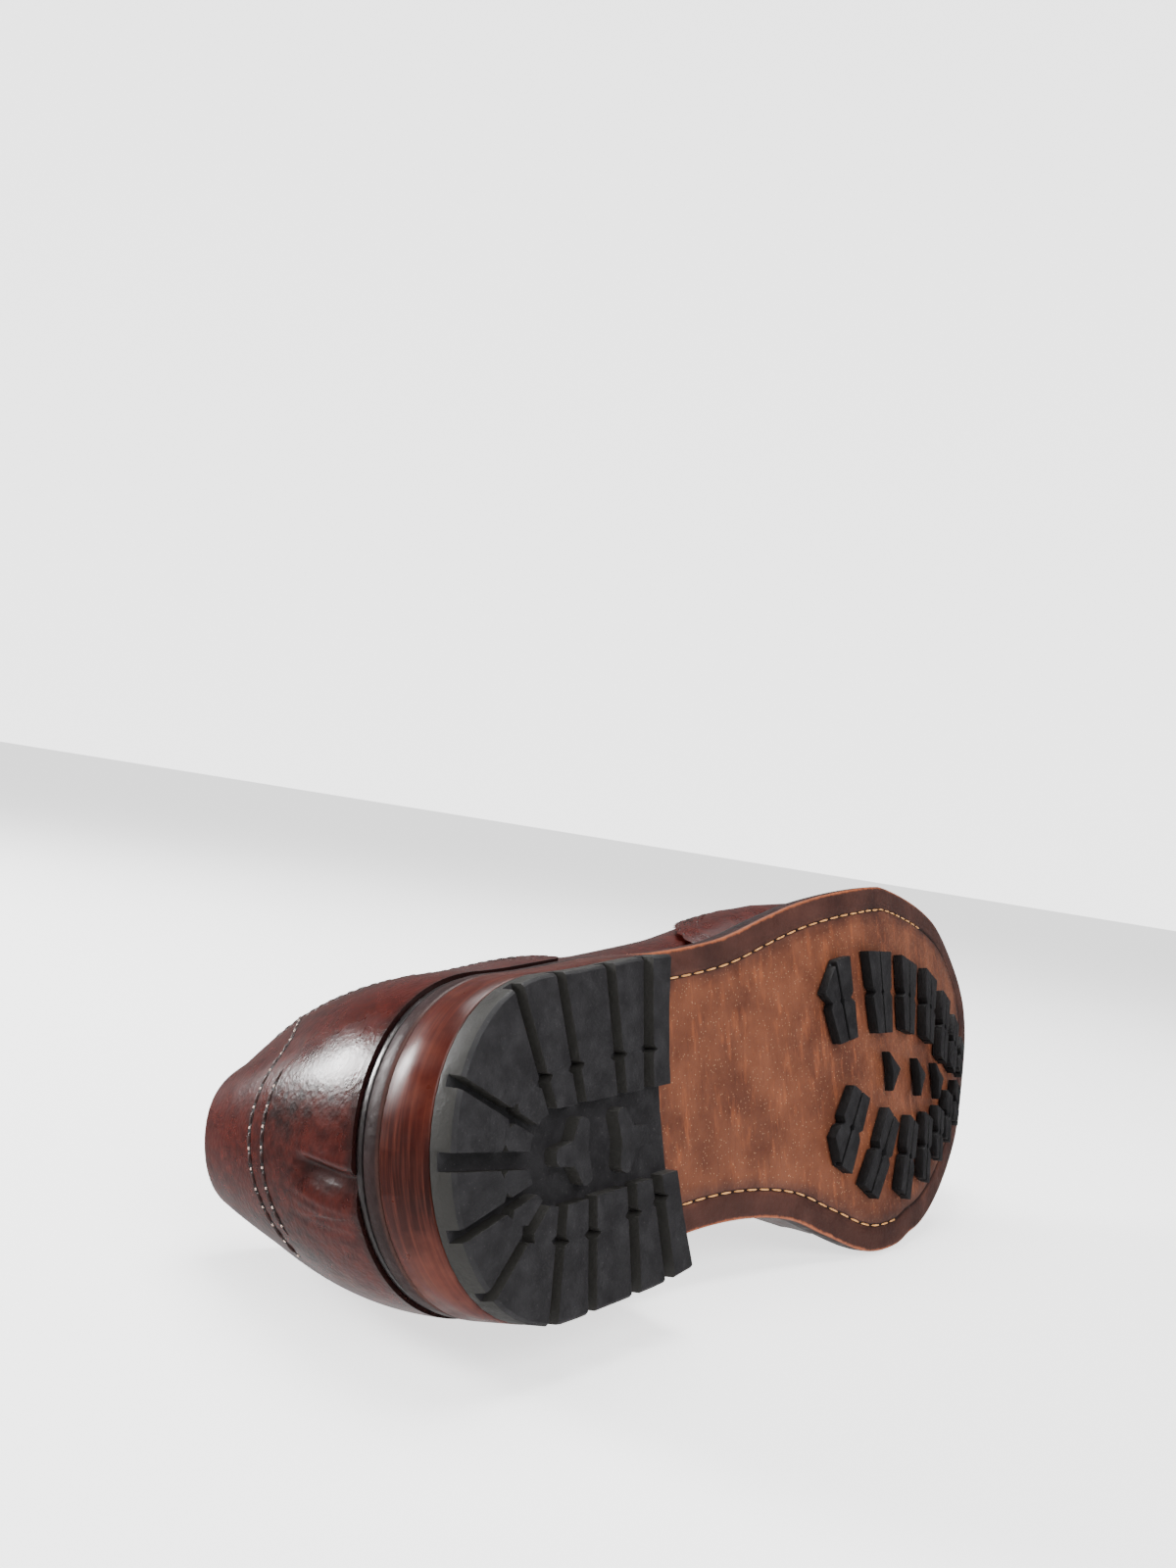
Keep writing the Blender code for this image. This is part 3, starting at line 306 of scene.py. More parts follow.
def smooth(places, values, x):
    """Values at x on a smooth curve through the places, level at both ends."""
    x = np.clip(x, places[0], places[-1])
    slopes = np.zeros(len(values))
    slopes[1:-1] = (values[2:] - values[:-2]) / (places[2:] - places[:-2])
    i = np.clip(np.searchsorted(places, x) - 1, 0, len(places) - 2)
    span = places[i + 1] - places[i]
    t = (x - places[i]) / span
    bend = span * (slopes[i] * t * (1 - t) ** 2 - slopes[i + 1] * t * t * (1 - t))
    return values[i] + t * t * (3 - 2 * t) * (values[i + 1] - values[i]) + bend


def table_value(rows, column, along):
    return smooth(rows["along"], rows[column], along)


def unit(vectors):
    return vectors / np.linalg.norm(vectors, axis=-1, keepdims=True)


def run_along(points):
    """Lengths along a line, from its first point to each."""
    return np.append(0, np.cumsum(np.linalg.norm(np.diff(points, axis=0), axis=1)))


def length_at(turn):
    return SOLE_LENGTH * (1 - np.cos(np.pi * turn)) / 2


def turn_at(x):
    return np.arccos(1 - 2 * np.clip(x / SOLE_LENGTH, 0, 1)) / np.pi


def edge_offset(side, x):
    """Distance of the sole's edge from the heel's centre line; side is an array of signs."""
    along = x / SOLE_LENGTH
    offset = np.zeros(np.broadcast(side, x).shape)
    for sign, name in SIDE_NAMES.items():
        places = OUTLINE["along"]
        value = smooth(places, OUTLINE["width"] / 2 * OUTLINE[name], along)
        back = np.clip(1 - along / places[0], 0, 1)
        front = np.clip((along - places[-1]) / (1 - places[-1]), 0, 1)
        value = value * np.sqrt(1 - back**HEEL_POWER) * np.sqrt(1 - front ** TOE_POWER[name])
        shift = TOE_SHIFT * front * front * (3 - 2 * front)
        offset = np.where(side == sign, sign * value + shift, offset)
    return offset


def outline_point(side, turn, inset=0.0):
    """Points of the sole's outline in plan, moved in from the edge by the inset."""
    step = np.minimum(0.002, np.minimum(turn, 1 - turn) / 2)
    step = np.maximum(step, 1e-7)
    before, after = length_at(turn - step), length_at(turn + step)
    run = after - before
    spread = edge_offset(side, after) - edge_offset(side, before)
    size = np.hypot(run, spread) * side
    size = np.where(size == 0, 1, size)
    x = length_at(turn)
    out_x = x + inset * spread / size
    out_y = edge_offset(side, x) - inset * run / size
    ends = (turn <= 0) | (turn >= 1)
    out_x = np.where(turn <= 0, inset, np.where(turn >= 1, SOLE_LENGTH - inset, out_x))
    out_y = np.where(ends, np.where(turn >= 1, TOE_SHIFT, 0.0), out_y)
    return out_x, out_y


def sole_bottom(x):
    along = x / SOLE_LENGTH
    return (
        CLEAT_HEIGHT
        + table_value(PROFILE, "seat", along) * (SEAT_HEIGHT - CLEAT_HEIGHT)
        + table_value(PROFILE, "arch", along) * ARCH_RISE
        + table_value(PROFILE, "spring", along) * TOE_SPRING
    )


def welt_bottom(x):
    return sole_bottom(x) + OUTSOLE_THICKNESS + GAP


def feather(x):
    return welt_bottom(x) + WELT_THICKNESS + GAP


def margin(x):
    return table_value(MARGINS, "margin", x / SOLE_LENGTH)


def turn_of_spine(x):
    return turn_at(SOLE_LENGTH * (x - SPINE_BACK) / (SPINE_FRONT - SPINE_BACK))


def section(turn):
    along = length_at(turn) / SOLE_LENGTH
    cut = {name: table_value(SECTIONS, name, along) for name in SECTIONS if name != "along"}
    cut["x"] = SPINE_BACK + (SPINE_FRONT - SPINE_BACK) * along
    cut["y"] = cut["lean"] * BALL_WIDTH / 2
    cut["crown"] = TOE_BOX_HEIGHT + cut["rise"] * (INSTEP_HEIGHT - TOE_BOX_HEIGHT)
    return cut


def on_last(side, turn, level):
    """Points on the last: level is 0 at the feather and 1 at the ridge; all three are arrays."""
    side, turn, level = np.broadcast_arrays(side, turn, level)
    cut = section(turn)
    foot_x, foot_y = outline_point(side, turn, margin(length_at(turn)))
    angle = level * np.pi / 2
    height = np.sin(angle).clip(0) ** (2 / cut["height_power"])
    swell = height * cut["crown"] / BULGE_LEVEL
    out = np.cos(angle).clip(0) ** (2 / cut["width_power"])
    bulge = np.where(side == LATERAL, cut["lateral"], cut["medial"])
    out = out + bulge * swell * np.exp(1 - swell) * np.cos(angle).clip(0)
    base = feather(foot_x) * (1 - height) + feather(cut["x"]) * height
    return np.stack(
        (
            cut["x"] + (foot_x - cut["x"]) * out,
            cut["y"] + (foot_y - cut["y"]) * out,
            base + cut["crown"] * height,
        ),
        axis=-1,
    )


def normal_of(side, turn, level):
    """Outward unit normals of the last."""
    side, turn, level = np.broadcast_arrays(side, turn, level)
    step = 0.004
    safe = np.clip(turn, 0.0005, 0.9995)
    before, after = np.clip(safe - step, 0, 1), np.clip(safe + step, 0, 1)
    along = on_last(side, after, level) - on_last(side, before, level)
    low, high = np.clip(level - step, 0, 1), np.clip(level + step, 0, 1)
    up = on_last(side, safe, high) - on_last(side, safe, low)
    normal = np.cross(along, up) * np.where(side == LATERAL, 1, -1)[..., None]
    normal[..., 1] = np.where((turn <= 0), 0, normal[..., 1])
    ridge = np.stack((-along[..., 2], np.zeros(turn.shape), along[..., 0]), axis=-1)
    normal = np.where((level >= 0.9995)[..., None], ridge, normal)
    return normal / np.maximum(np.linalg.norm(normal, axis=-1, keepdims=True), 1e-12)


def off_last(side, turn, level, rise):
    rise = np.broadcast_to(rise, np.broadcast(side, turn, level).shape)
    return on_last(side, turn, level) + normal_of(side, turn, level) * rise[..., None]


def topline_height(side, turn):
    along = length_at(turn) / length_at(turn_of_spine(FACING_TOP))
    ankle = np.where(
        side == LATERAL,
        table_value(TOPLINE, "lateral", along),
        table_value(TOPLINE, "medial", along),
    )
    return table_value(TOPLINE, "back", along) * BACK_HEIGHT + ankle * ANKLE_HEIGHT


def level_at_height(turn, height):
    """Level of a height over the feather on the section at a turn."""
    cut = section(turn)
    share = np.clip(height / cut["crown"], 0, 1)
    return np.arcsin(share ** (cut["height_power"] / 2)) / (np.pi / 2)


def top_level(side, turn):
    """Level where the upper ends: its top line, the edge of its facing or the ridge."""
    side, turn = np.broadcast_arrays(side, turn)
    cut = section(turn)
    foot_x, foot_y = outline_point(side, turn, margin(length_at(turn)))
    reach = np.hypot(foot_x - cut["x"], foot_y - cut["y"])
    collar = level_at_height(turn, topline_height(side, turn))
    edge = np.arccos((FACING_GAP / 2 / reach) ** (cut["width_power"] / 2)) / (np.pi / 2)
    return np.where(cut["x"] > THROAT, 1.0, np.minimum(collar, edge))


def stand_frame():
    """Turn and shift that lay the shoe on its side, read from the mount under its heel."""
    mount = frame["record"]["mounts"][0]
    up = -np.array(mount["axis"])
    forward = np.array((abs(up[2]), 0.0, -abs(up[2]) * up[0] / up[2]))
    forward /= np.linalg.norm(forward)
    turn = np.column_stack((forward, np.cross(up, forward), up))
    return turn, np.array(mount["pos_m"]) - turn @ HEEL_MOUNT


TURN, SHIFT = stand_frame()


def grid_faces(rows, columns, flip=False):
    index = np.arange(rows * columns).reshape(rows, columns)
    faces = np.stack((index[:-1, :-1], index[1:, :-1], index[1:, 1:], index[:-1, 1:]), axis=-1)
    faces = faces.reshape(-1, 4)
    return faces[:, ::-1] if flip else faces


def strip_faces(lower, upper):
    """Quads between two rows of point numbers."""
    return np.stack((lower[:-1], lower[1:], upper[1:], upper[:-1]), axis=-1)


def ring_faces(rings, sides, copies=1):
    """Quads between closed rings, and the same for each copy of them."""
    index = np.arange(rings * sides).reshape(rings, sides)
    index = np.hstack((index, index[:, :1]))
    faces = np.concatenate([strip_faces(index[k], index[k + 1]) for k in range(rings - 1)])
    return (faces[None] + (np.arange(copies) * rings * sides)[:, None, None]).reshape(-1, 4)


def link(name, data):
    """Object of some data, put in the scene."""
    thing = bpy.data.objects.new(name, data)
    bpy.context.scene.collection.objects.link(thing)
    return thing


def keep_places(mesh, points):
    """Store each point's place on the shoe, for the looks."""
    shoe = mesh.attributes.new("shoe", "FLOAT_VECTOR", "POINT")
    shoe.data.foreach_set("vector", points.ravel())


def smooth_mesh(bm, mesh, sharp):
    """Write a bmesh to its mesh, smooth but for edges sharper than an angle in degrees."""
    bmesh.ops.recalc_face_normals(bm, faces=bm.faces)
    for edge in bm.edges:
        edge.smooth = len(edge.link_faces) == 2 and edge.calc_face_angle(0) < math.radians(sharp)
    for face in bm.faces:
        face.smooth = True
    bm.to_mesh(mesh)
    bm.free()


def ride_piece(name, mesh, nodes):
    piece = link(name, mesh)
    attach(piece, "root")
    if nodes:
        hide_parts(*nodes)
    return piece


def new_piece(name, points, faces, looks, nodes=(), face_looks=None, layers=None, sharp=50):
    """Closed piece of the shoe from points in its own frame, welded, with values kept per point."""
    points = np.asarray(points, float).reshape(-1, 3)
    mesh = bpy.data.meshes.new(name)
    mesh.vertices.add(len(points))
    mesh.vertices.foreach_set("co", (points @ TURN.T + SHIFT).ravel())
    mesh.loops.add(faces.size)
    mesh.loops.foreach_set("vertex_index", faces.ravel().astype(np.int32))
    mesh.polygons.add(len(faces))
    mesh.polygons.foreach_set("loop_start", np.arange(len(faces), dtype=np.int32) * 4)
    if face_looks is not None:
        mesh.polygons.foreach_set("material_index", np.asarray(face_looks, np.int32))
    mesh.update(calc_edges=True)
    keep_places(mesh, points)
    for key, values in (layers or {}).items():
        layer = mesh.attributes.new(key, "FLOAT", "POINT")
        layer.data.foreach_set("value", np.asarray(values, float).ravel())
    for look in looks:
        mesh.materials.append(look)
    bm = bmesh.new()
    bm.from_mesh(mesh)
    bmesh.ops.remove_doubles(bm, verts=bm.verts, dist=WELD)
    bmesh.ops.dissolve_degenerate(bm, edges=bm.edges, dist=WELD)
    smooth_mesh(bm, mesh, sharp)
    return ride_piece(name, mesh, nodes)


def solid_from_levels(levels, band=False):
    """Points, faces and level number per point of a closed solid through levels of rungs."""
    rungs, across = levels[0].shape[:2]
    size = rungs * across
    points = np.concatenate([level.reshape(-1, 3) for level in levels])
    index = np.arange(size).reshape(rungs, across)
    rim = np.concatenate((index[:, 0], index[-1, 1:-1], index[::-1, -1], index[0, -2:0:-1]))
    rim = np.append(rim, rim[0])
    faces = []
    last = len(levels) - 1
    if not band:
        faces.append(grid_faces(rungs, across))
        faces.append(grid_faces(rungs, across, flip=True) + last * size)
    for k in range(len(levels) if band else last):
        faces.append(strip_faces(rim + k * size, rim + (k + 1) % len(levels) * size))
    number = np.repeat(np.arange(len(levels)), size)
    return points, np.concatenate(faces), number


def rungs_across(turn, inset, across):
    """Rungs in plan from the sole's outer to its inner edge, and the shares along each."""
    lateral, medial = (
        np.stack(outline_point(np.full(turn.shape, side), turn, inset), axis=-1)[:, None]
        for side in (LATERAL, MEDIAL)
    )
    over = np.linspace(0, 1, across + 1)[None, :, None]
    return lateral * (1 - over) + medial * over, over[..., 0]


def sole_levels(profile, base, steps, across):
    """Levels of rungs from heel to toe, one for each inset and height over the base."""
    turn = np.linspace(0, 1, steps + 1)
    levels = []
    for inset, up in profile:
        inset = inset(length_at(turn)) if callable(inset) else inset
        plan, _ = rungs_across(turn, inset, across)
        levels.append(np.concatenate((plan, (base(plan[..., 0]) + up)[..., None]), axis=-1))
    return levels


def heel_level(down, inset, height, steps, across):
    """Rungs of the heel: down is 0 under the sole and 1 at the tread; the breast is hollow."""
    share = np.linspace(0, 1, steps + 1)[:, None]
    turn = turn_at(HEEL_LENGTH) * share[:, 0]
    plan, over = rungs_across(turn, inset + HEEL_TAPER * down, across)
    plan[..., 0] += HEEL_RAKE * down * (1 - np.minimum(1, plan[..., 0] / HEEL_LENGTH)) ** 2
    hollow = share**2 * 4 * over * (1 - over)
    plan[..., 0] -= HEEL_CONCAVITY * hollow + inset * (share == 1)
    return np.concatenate((plan, height(plan[..., 0])[..., None]), axis=-1)


# Shader helpers


def new_look(name, roughness, specular=0.5, coat=0.0, coat_roughness=0.1, metallic=0.0):
    look = bpy.data.materials.new(name)
    look.use_nodes = True
    shader = look.node_tree.nodes["Principled BSDF"]
    for key, value in (
        ("Roughness", roughness),
        ("Specular IOR Level", specular),
        ("Coat Weight", coat),
        ("Coat Roughness", coat_roughness),
        ("Metallic", metallic),
    ):
        shader.inputs[key].default_value = value
    shoe = layer(look.node_tree, "shoe").outputs["Vector"]
    return look, look.node_tree, shader, shoe


def add(tree, kind, settings=None, **inputs):
    """Node with its settings and inputs: numbers, colours or other nodes' sockets."""
    node = tree.nodes.new(kind)
    for key, value in (settings or {}).items():
        setattr(node, key, value)
    for key, value in inputs.items():
        number = key[5:] if key.startswith("input") else ""
        socket = node.inputs[int(number)] if number else node.inputs[key.replace("_", " ")]
        if isinstance(value, bpy.types.NodeSocket):
            tree.links.new(value, socket)
        else:
            socket.default_value = value
    return node


def layer(tree, name):
    return add(tree, "ShaderNodeAttribute", {"attribute_name": name})


def noise(tree, vector, scale, detail=3.0, rough=0.5, stretch=None):
    if stretch:
        settings = {"vector_type": "POINT"}
        vector = add(tree, "ShaderNodeMapping", settings, Vector=vector, Scale=stretch).outputs[0]
    inputs = {"Vector": vector, "Scale": scale, "Detail": detail, "Roughness": rough}
    return add(tree, "ShaderNodeTexNoise", None, **inputs).outputs[0]


def cells(tree, vector, scale):
    return add(tree, "ShaderNodeTexVoronoi", None, Vector=vector, Scale=scale).outputs[0]


def between(tree, value, low, high, to_low=0.0, to_high=1.0):
    """Value carried from one range to another and held at its ends."""
    ends = {"From_Min": low, "From_Max": high, "To_Min": to_low, "To_Max": to_high}
    return add(tree, "ShaderNodeMapRange", {"clamp": True}, Value=value, **ends).outputs[0]


def sum_of(tree, operation, first, second):
    node = add(tree, "ShaderNodeMath", {"operation": operation}, input0=first, input1=second)
    return node.outputs[0]


def blend_of(tree, share, first, second, mode="MIX"):
    settings = {"data_type": "RGBA", "blend_type": mode}
    node = add(tree, "ShaderNodeMix", settings, input0=share, input6=first, input7=second)
    return node.outputs[2]


def along(tree, shoe):
    """Length from the heel, of a look's place on the shoe."""
    return add(tree, "ShaderNodeSeparateXYZ", None, Vector=shoe).outputs["X"]


def bump(tree, height, distance, strength=1.0, normal=None):
    inputs = {"Height": height, "Distance": distance, "Strength": strength}
    if normal:
        inputs["Normal"] = normal
    return add(tree, "ShaderNodeBump", None, **inputs).outputs[0]


def shade(tree, shader, **sockets):
    for key, socket in sockets.items():
        tree.links.new(socket, shader.inputs[key.replace("_", " ")])


def rgb(red, green, blue):
    """Scene colour from a screen colour of 0 to 255."""
    return tuple(
        value / 3294.6 if value <= 10 else ((value / 255 + 0.055) / 1.055) ** 2.4
        for value in (red, green, blue)
    ) + (1.0,)


def leather_look(name, dark, mid, light, gloss=0.28):
    """Grained oxblood leather: darker towards cut edges, painted shade in creases, waxed coat,
    faint scuffs.
    """
    look, tree, shader, shoe = new_look(name, gloss, 0.22, coat=0.15, coat_roughness=0.16)
    cut = layer(tree, "cut").outputs["Fac"]
    broad = between(tree, noise(tree, shoe, 30, 2), 0.28, 0.74)
    fine = between(tree, noise(tree, shoe, 420, 3), 0.35, 0.7)
    color = blend_of(tree, broad, dark, mid)
    scuff = between(tree, noise(tree, shoe, 90, 6, 0.7, (1.0, 1.0, 3.5)), 0.60, 0.85, 0.0, 0.3)
    color = blend_of(tree, scuff, color, light)
    color = blend_of(tree, sum_of(tree, "MULTIPLY", fine, 0.25), color, light)
    # The cut layer darkens cut edges, and on the overlays also crease hollows, where it is painted
    # shade
    color = blend_of(tree, sum_of(tree, "MULTIPLY", cut, 0.85), color, rgb(26, 14, 13))
    grain = sum_of(tree, "ADD", cells(tree, shoe, 760), noise(tree, shoe, 1500, 2))
    rough = between(tree, noise(tree, shoe, 110, 3), 0.3, 0.75, gloss - 0.05, gloss + 0.10)
    normal = bump(tree, grain, 0.00010, 0.45)
    normal = bump(tree, noise(tree, shoe, 160, 3), 0.00025, 0.2, normal)
    shade(tree, shader, Base_Color=color, Roughness=rough, Normal=normal)
    return look


def sole_look():
    """Worn sole leather: dark margin, tan middle, a dark channel and an orange edge."""
    look, tree, shader, shoe = new_look("sole_leather", 0.5, 0.2, coat=0.05, coat_roughness=0.3)
    edge = layer(tree, "edge").outputs["Fac"]
    wall = layer(tree, "wall").outputs["Fac"]
    blotch = noise(tree, shoe, 60, 6, 0.6)
    streak = noise(tree, shoe, 90, 5, 0.65, (5.0, 1.0, 1.0))
    middle = blend_of(tree, between(tree, blotch, 0.35, 0.65), rgb(80, 45, 33), rgb(110, 65, 45))
    middle = blend_of(tree, between(tree, streak, 0.54, 0.76, 0, 0.45), middle, rgb(168, 94, 57))
    scratch = noise(tree, shoe, 240, 3, 0.5, (6.0, 0.5, 1.0))
    middle = blend_of(tree, between(tree, scratch, 0.58, 0.74, 0, 0.32), middle, rgb(60, 36, 32))
    border = blend_of(tree, between(tree, blotch, 0.3, 0.7), rgb(48, 29, 26), rgb(74, 45, 38))
    inner = between(tree, sum_of(tree, "ADD", edge, sum_of(tree, "MULTIPLY", blotch, 0.006)),
                    0.0095, 0.0150)
    color = blend_of(tree, inner, border, middle)
    fleck = between(tree, cells(tree, shoe, 950), 0.0, 0.21, 0.6, 0.0)
    color = blend_of(tree, sum_of(tree, "MULTIPLY", fleck, inner), color, rgb(205, 160, 125))
    worn = sum_of(tree, "ADD", edge, sum_of(tree, "MULTIPLY", streak, 0.0016))
    rubbed = between(tree, worn, 0.0011, 0.0017, 0.9, 0.0)
    ahead = between(tree, along(tree, shoe), HEEL_LENGTH - 0.006, HEEL_LENGTH + 0.006)
    rubbed = sum_of(tree, "MULTIPLY", rubbed, ahead)
    color = blend_of(tree, rubbed, color, rgb(150, 82, 50))
    channel = sum_of(tree, "ABSOLUTE", sum_of(tree, "SUBTRACT", edge, CHANNEL_INSET), 0)
    color = blend_of(tree, between(tree, channel, 0.0002, 0.0007, 0.9, 0.0), color, rgb(22, 14, 14))
    side = blend_of(tree, between(tree, blotch, 0.35, 0.65), rgb(26, 14, 14), rgb(42, 24, 23))
    color = blend_of(tree, between(tree, wall, 0.0003, 0.0009), color, side)
    rough = between(tree, noise(tree, shoe, 240, 5), 0.3, 0.7, 0.36, 0.62)
    height = sum_of(tree, "ADD", noise(tree, shoe, 700, 5), noise(tree, shoe, 260, 4))
    normal = bump(tree, height, 0.0003, 0.5)
    shade(tree, shader, Base_Color=color, Roughness=rough, Normal=normal)
    return look


def rubber_look(name, deep, face, side):
    """Dusty moulded rubber. Upright walls get another tone: a darker painted shade on the cleats,
    the side's own grey on the heel's top piece.
    """
    look, tree, shader, shoe = new_look(name, 0.6, 0.25)
    dust = between(tree, noise(tree, shoe, 150, 6, 0.65), 0.4, 0.72)
    color = blend_of(tree, dust, deep, face)
    specks = between(tree, noise(tree, shoe, 1600, 3), 0.64, 0.78, 0.0, 0.25)
    color = blend_of(tree, specks, color, rgb(104, 100, 100))
    # Upright walls, found by their normal against the shoe's up; on the cleats their darker tone is
    # a painted shade
    facing = add(tree, "ShaderNodeVectorMath", {"operation": "DOT_PRODUCT"},
                 input0=add(tree, "ShaderNodeNewGeometry").outputs["Normal"],
                 input1=tuple(float(value) for value in TURN[:, 2]))
    upright = between(tree, sum_of(tree, "ABSOLUTE", facing.outputs["Value"], 0), 0.35, 0.75, 1, 0)
    color = blend_of(tree, upright, color, side)
    rough = between(tree, noise(tree, shoe, 300, 4), 0.3, 0.7, 0.44, 0.7)
    normal = bump(tree, noise(tree, shoe, 1300, 4), 0.0002, 0.4)
    shade(tree, shader, Base_Color=color, Roughness=rough, Normal=normal)
    return look


def lift_look():
    """Burnished heel leather: red-brown, streaked round the heel and rubbed in places."""
    look, tree, shader, shoe = new_look("heel_leather", 0.34, 0.2, coat=0.12, coat_roughness=0.24)
    line = noise(tree, shoe, 160, 5, 0.6, (0.25, 0.25, 8.0))
    broad = noise(tree, shoe, 30, 3)
    color = blend_of(tree, between(tree, broad, 0.35, 0.65), rgb(26, 6, 4), rgb(58, 17, 11))
    color = blend_of(tree, between(tree, line, 0.45, 0.72, 0, 0.6), color, rgb(88, 40, 28))
    rub = between(tree, noise(tree, shoe, 45, 5, 0.6), 0.56, 0.74, 0.0, 0.4)
    color = blend_of(tree, rub, color, rgb(106, 60, 46))
    rough = between(tree, noise(tree, shoe, 200, 4), 0.3, 0.7, 0.26, 0.46)
    normal = bump(tree, line, 0.00008, 0.3)
    shade(tree, shader, Base_Color=color, Roughness=rough, Normal=normal)
    return look


def plain_look(name, dark, light, roughness, scale, depth, coat=0.0, metallic=0.0, stretch=None):
    """Look of a small or hidden piece: two tones in a noise, with a fine relief."""
    look, tree, shader, shoe = new_look(name, roughness, 0.3, coat=coat, metallic=metallic)
    tone = noise(tree, shoe, scale, 5, 0.6, stretch)
    color = blend_of(tree, between(tree, tone, 0.32, 0.68), dark, light)
    rough = between(tree, tone, 0.3, 0.7, roughness - 0.08, roughness + 0.12)
    normal = bump(tree, noise(tree, shoe, scale * 4, 4), depth, 0.5)
    shade(tree, shader, Base_Color=color, Roughness=rough, Normal=normal)
    return look


UPPER_LOOK = leather_look("upper_leather", rgb(24, 5, 4), rgb(60, 15, 11), rgb(98, 36, 26))
SOLE_LOOK = sole_look()
# Cleats: their upright walls are darker than their faces, a painted shade
RUBBER_LOOK = rubber_look("rubber", rgb(24, 23, 25), rgb(37, 36, 38), rgb(18, 18, 19))
TOP_PIECE_LOOK = rubber_look("heel_rubber", rgb(28, 27, 29), rgb(40, 39, 41), rgb(40, 39, 37))
LIFT_LOOK = lift_look()
EDGE_LOOK = plain_look("edge_leather", rgb(16, 14, 14), rgb(38, 32, 32), 0.34, 180, 0.0003, 0.3)
LINING_LOOK = plain_look("lining", rgb(150, 118, 88), rgb(182, 148, 112), 0.6, 90, 0.0003)
# Pale bits between the stitches at the back of the heel: painted glints
PAINTED_GLINT = plain_look("painted_glint", rgb(150, 120, 110), rgb(215, 190, 175), 0.4, 900, 0.0001)
DARK_THREAD = plain_look("dark_thread", rgb(24, 14, 13), rgb(60, 34, 30), 0.5, 900, 0.0001)
PALE_THREAD = plain_look("pale_thread", rgb(170, 112, 62), rgb(214, 160, 100), 0.6, 900, 0.0001)
# Near black: painted shade inside the punched holes and along the heel's stitch grooves
HOLE_AND_GROOVE_SHADE = plain_look("hole_and_groove_shade", rgb(9, 6, 6), rgb(22, 13, 12), 0.7, 700, 0.0001)
METAL_LOOK = plain_look(
    "eyelet_metal", rgb(92, 74, 52), rgb(140, 116, 84), 0.35, 400, 0.00005, metallic=1.0
)
LACE_LOOK = plain_look(
    "lace_cord", rgb(34, 20, 18), rgb(70, 44, 38), 0.7, 500, 0.0003, stretch=(1.0, 3.0, 1.0)
)


def side_of(q):
    """Side of a signed turn, which is negative on the outer side."""
    return np.where(q < 0, LATERAL, MEDIAL)


def surface(q, level):
    return on_last(side_of(q), np.abs(q), level)


def normal_at(q, level):
    return normal_of(side_of(q), np.abs(q), level)


def even(q, level, count):
    """The same curve on the last with its points evenly spaced."""
    run = run_along(surface(q, level))
    target = np.linspace(0, run[-1], count)
    return np.interp(target, run, q), np.interp(target, run, level), target


def march(q, level, distance, ahead):
    """Curve moved over the last by a distance; ahead is 1 for its left and -1 for its right."""
    step = 0.002
    inward = np.cross(normal_at(q, level), np.gradient(surface(q, level), axis=0))
    inward *= distance * ahead / np.maximum(np.linalg.norm(inward, axis=1, keepdims=True), 1e-9)
    by_q = (surface(q + step, level) - surface(q - step, level)) / (2 * step)
    low, high = np.clip(level - step, 0, 1), np.clip(level + step, 0, 1)
    by_level = (surface(q, high) - surface(q, low)) / (high - low)[:, None]
    pairs = ((by_q, by_q), (by_q, by_level), (by_level, by_level), (by_q, inward),
             (by_level, inward))
    a, b, c, e, f = (np.sum(first * second, axis=1) for first, second in pairs)
    scale = a * c - b * b
    return q + (c * e - b * f) / scale, level + (a * f - b * e) / scale


class Edge:
    """Edge of an overlay: places at any run along it and any distance inside it."""

    STEP = 0.001

    def __init__(self, q, level, ahead, depth=12, count=400, pin=False):
        self.q, self.level, self.run = even(q, level, count)
        rows = [(self.q, self.level)]
        for _ in range(depth):
            moved_q, moved_level = march(*rows[-1], self.STEP, ahead)
            moved_level = np.clip(moved_level, 0.0, 1.0)
            if pin:
                moved_level[-1] = 1.0
            rows.append((moved_q, moved_level))
        self.rows_q = np.array([row[0] for row in rows])
        self.rows_level = np.array([row[1] for row in rows])
        self.length = self.run[-1]

    def run_at(self, x):
        """Runs where the edge passes a length from the heel, on the inner and the outer side."""
        back = self.run[np.abs(self.q).argmin()]
        away = np.abs(length_at(np.abs(self.q)) - x)
        return (
            self.run[np.where(self.run < back, away, 1.0).argmin()],
            self.run[np.where(self.run > back, away, 1.0).argmin()],
        )

    def at(self, run, inside):
        """q and level at a run along the edge and a distance inside it."""
        run, inside = np.broadcast_arrays(run, inside)
        column = np.interp(run, self.run, np.arange(len(self.run)))
        row = np.clip(inside / self.STEP, 0, len(self.rows_q) - 1.001)
        i, j = row.astype(int), np.clip(column.astype(int), 0, len(self.run) - 2)
        u, v = row - i, column - j
        out = []
        for grid in (self.rows_q, self.rows_level):
            near = grid[i, j] * (1 - v) + grid[i, j + 1] * v
            far = grid[i + 1, j] * (1 - v) + grid[i + 1, j + 1] * v
            out.append(near * (1 - u) + far * u)
        return out


def crease_line(crease, share):
    """Bent line of a crease at shares of its length."""
    near, far = (1 - share) ** 2, share**2
    middle = 2 * share * (1 - share)
    q = near * crease.q_a + middle * crease.q_m + far * crease.q_b
    return surface(q, near * crease.level_a + middle * crease.level_m + far * crease.level_b)


